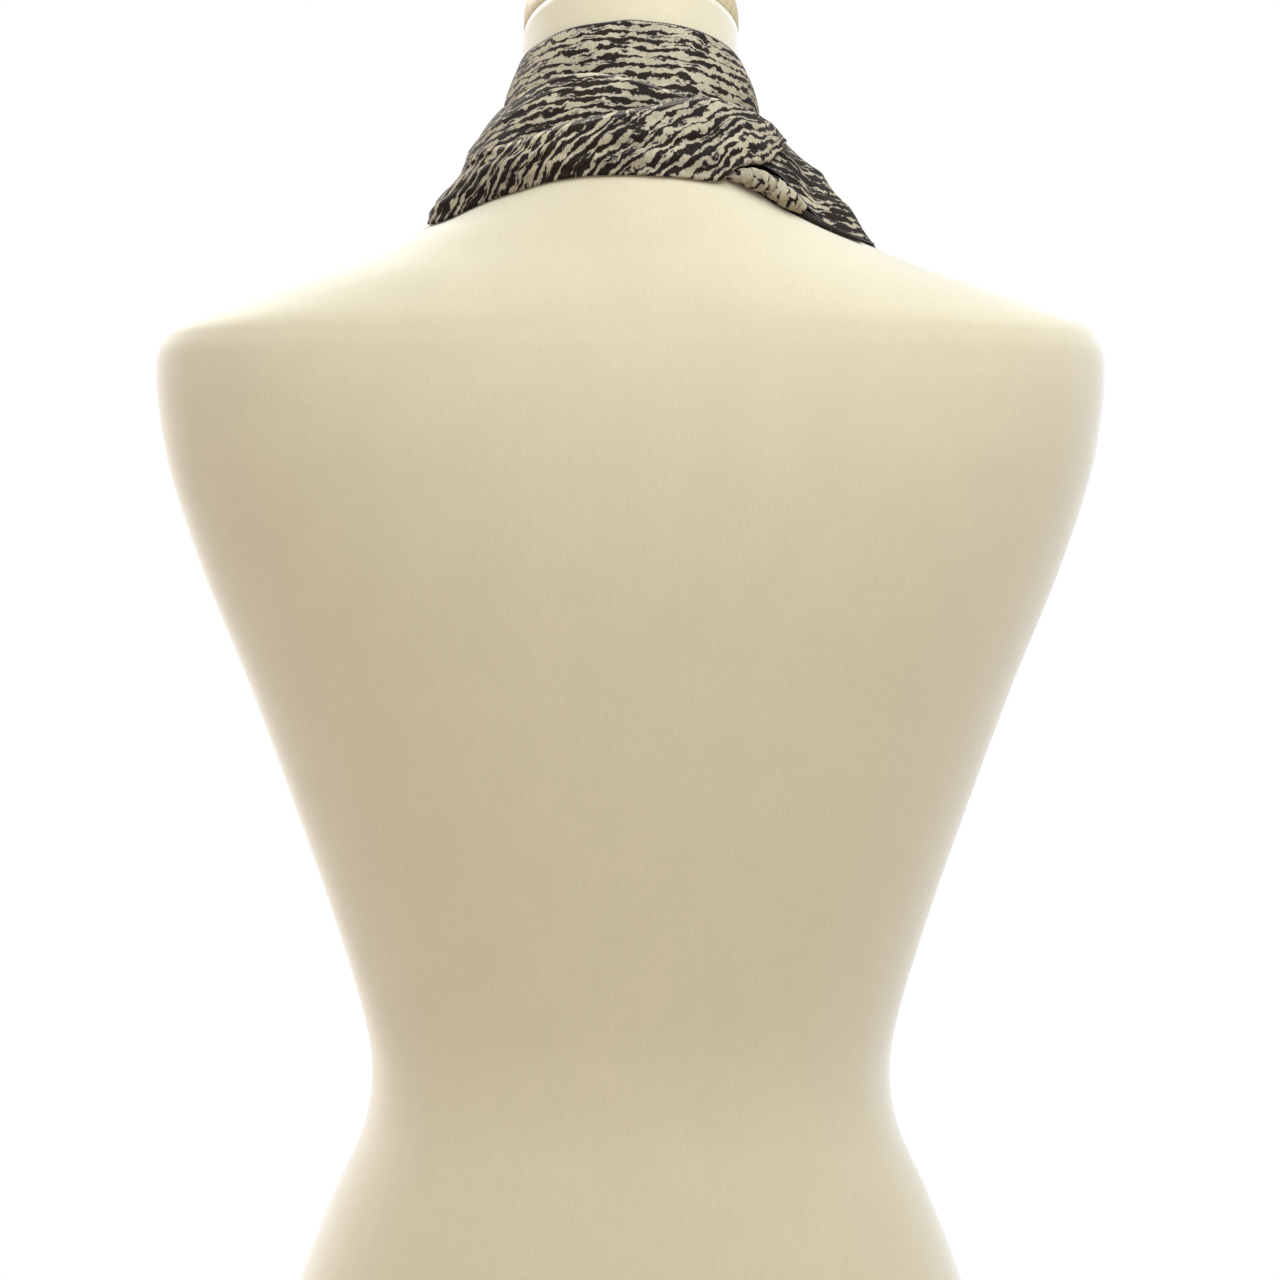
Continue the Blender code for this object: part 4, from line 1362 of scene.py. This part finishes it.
class STOLE_OT_drape(bpy.types.Operator):
    """Make the drape over the form's right shoulder and its hanging end"""

    bl_idname = "stole.drape"
    bl_label = "Shoulder drape"

    def execute(self, context):
        settings = context.scene.stole_cloth
        rows = refined(strand_of(SHOULDER_DRAPE, RIGHT_TAIL, -1), FINER)
        points, places = cloth_points(
            rows, TAIL_LINES, TAIL_WAVES, DRAPE_CREASES, DRAPE_CURL, wander=TAIL_WANDER)
        grid = settled(points, beneath(settings, *UNDER_THE_ENDS))
        mesh = cloth_mesh("drape_cloth", grid, places, CURLED_COLUMNS)
        cloth_piece("drape_cloth", mesh, settings, "shoulder_drape", "right_tail")
        return {"FINISHED"}


class STOLE_OT_wrap(bpy.types.Operator):
    """Make the outermost turn across the back and its hanging end"""

    bl_idname = "stole.wrap"
    bl_label = "Back wrap"

    def execute(self, context):
        settings = context.scene.stole_cloth
        rows = refined(strand_of(BACK_WRAP, LEFT_TAIL, 1), FINER)
        points, places = cloth_points(
            rows, TAIL_LINES, TAIL_WAVES, WRAP_CREASES, WRAP_TOP_CURL, WRAP_LOW_CURL,
            wander=TAIL_WANDER)
        tucked = TUCKED_ROWS * WRAP_STEPS * FINER
        inner = settled(points[:tucked + TURNING_LINES], beneath(settings, *UNDER_THE_ENDS))
        outer = settled(points[tucked:], beneath(settings, *UNDER_THE_ENDS, "drape_cloth"))
        for index in range(TURNING_LINES):
            share = (index + 1) / (TURNING_LINES + 1)
            kept = 1 - share * share * (3 - 2 * share)
            outer[index] += (inner[tucked + index] - outer[index]) * kept
        grid = np.concatenate([inner[:tucked], outer])
        mesh = cloth_mesh("wrap_cloth", grid, places, CURLED_COLUMNS)
        cloth_piece("wrap_cloth", mesh, settings, "back_wrap", "left_tail")
        return {"FINISHED"}


class STOLE_OT_hems(bpy.types.Operator):
    """Sew a rolled hem on each open edge of the stole"""

    bl_idname = "stole.hems"
    bl_label = "Rolled hems"

    def execute(self, context):
        settings = context.scene.stole_cloth
        finish = look_of("Hem thread", thread_look, settings)
        for name, stretch, column, closed in HEMS:
            cloth = bpy.data.objects[stretch].data
            points = edge_line(cloth, column, not closed, settings.thickness)
            count = len(points)
            last = count if closed else count - 1
            edges = [(index, (index + 1) % count) for index in range(last)]
            mesh = bpy.data.meshes.new(name)
            mesh.from_pydata(points, edges, [])
            line = bpy.data.objects.new(name + "_line", mesh)
            context.scene.collection.objects.link(line)
            sewn = line.modifiers.new("Rolled hem", "NODES")
            sewn.node_group = hem_tree(settings, finish)
            for socket in sewn.node_group.interface.items_tree:
                if socket.in_out == "INPUT" and socket.socket_type == "NodeSocketFloat":
                    setting = socket.name.lower().replace(" ", "_")
                    sewn[socket.identifier] = getattr(settings, setting)
            graph = context.evaluated_depsgraph_get()
            sewn_mesh = bpy.data.meshes.new_from_object(line.evaluated_get(graph))
            bpy.data.objects.remove(line)
            put(name, sewn_mesh, finish).data.name = name
        return {"FINISHED"}


class STOLE_OT_stage(bpy.types.Operator):
    """Make the floor, the light and the camera"""

    bl_idname = "stole.stage"
    bl_label = "Stage"

    def execute(self, context):
        settings = context.scene.stole_stage
        scene = context.scene
        scene.view_settings.view_transform = "Standard"
        world = bpy.data.worlds.get("Surround") or bpy.data.worlds.new("Surround")
        world.use_nodes = True
        background = world.node_tree.nodes["Background"]
        background.inputs["Color"].default_value = (1, 1, 1, 1)
        background.inputs["Strength"].default_value = settings.surround
        scene.world = world

        bpy.ops.mesh.primitive_circle_add(
            vertices=FLOOR_CORNERS, radius=FLOOR_RADIUS, fill_type="NGON")
        floor = context.object
        floor.name = remade("floor")
        look = Look("Pale floor", Roughness=0.8)
        tone = look.grain(look.stretched(look.object_place(), (40, 40, 40)), 3.0)
        look.shade("Base Color", look.mixed(tone, *FLOOR_TONES))
        floor.data.materials.append(look.material)

        for name, (spot, size, power, colour) in LIGHTS.items():
            light = bpy.data.lights.new(name, "AREA")
            light.size = size
            light.energy = getattr(settings, power)
            light.color = colour
            lamp = bpy.data.objects.new(remade(name), light)
            scene.collection.objects.link(lamp)
            lamp.location = spot
            lamp.rotation_euler = (LIT_POINT - Vector(spot)).to_track_quat("-Z", "Y").to_euler()
            lamp.visible_camera = False

        lens = bpy.data.cameras.new("main_camera")
        lens.lens = settings.focal_length
        lens.sensor_width = SENSOR_WIDTH
        lens.clip_end = VIEW_DEPTH
        camera = bpy.data.objects.new(remade("main_camera"), lens)
        camera.location = (settings.camera_side, settings.camera_distance, settings.camera_height)
        camera.rotation_euler = (math.pi / 2, 0, math.pi)
        scene.collection.objects.link(camera)
        scene.camera = camera
        return {"FINISHED"}


class STOLE_PT_panel(bpy.types.Panel):
    """Buttons for each piece and the sizes behind them"""

    bl_label = "Stole on a dress form"
    bl_idname = "STOLE_PT_panel"
    bl_space_type = "VIEW_3D"
    bl_region_type = "UI"
    bl_category = "Stole"

    def draw(self, context):
        for title, name, operators in (
                ("Dress form", "stole_form", FORM_OPERATORS),
                ("Stole", "stole_cloth", CLOTH_OPERATORS),
                ("Stage", "stole_stage", (STOLE_OT_stage,))):
            box = self.layout.box()
            box.label(text=title)
            for setting in SETTINGS[name].__annotations__:
                box.prop(getattr(context.scene, name), setting)
            for operator in operators:
                box.operator(operator.bl_idname)


SETTINGS = {
    "stole_form": StoleFormSettings,
    "stole_cloth": StoleClothSettings,
    "stole_stage": StoleStageSettings,
}
FORM_OPERATORS = (STOLE_OT_form, STOLE_OT_cap)
CLOTH_OPERATORS = (
    STOLE_OT_neck_band, STOLE_OT_folds, STOLE_OT_roll, STOLE_OT_drape, STOLE_OT_wrap, STOLE_OT_hems)
CLASSES = (*SETTINGS.values(), *FORM_OPERATORS, *CLOTH_OPERATORS, STOLE_OT_stage, STOLE_PT_panel)


def register():
    for kind in CLASSES:
        bpy.utils.register_class(kind)
    for name, kind in SETTINGS.items():
        setattr(bpy.types.Scene, name, bpy.props.PointerProperty(type=kind))


def unregister():
    for name in SETTINGS:
        delattr(bpy.types.Scene, name)
    for kind in reversed(CLASSES):
        bpy.utils.unregister_class(kind)


def main():
    register()
    bpy.ops.stole.form()
    bpy.ops.stole.cap()
    bpy.ops.stole.neck_band()
    bpy.ops.stole.folds()
    bpy.ops.stole.roll()
    bpy.ops.stole.drape()
    bpy.ops.stole.wrap()
    bpy.ops.stole.hems()
    bpy.ops.stole.stage()
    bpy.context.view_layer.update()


if __name__ == "__main__":
    main()
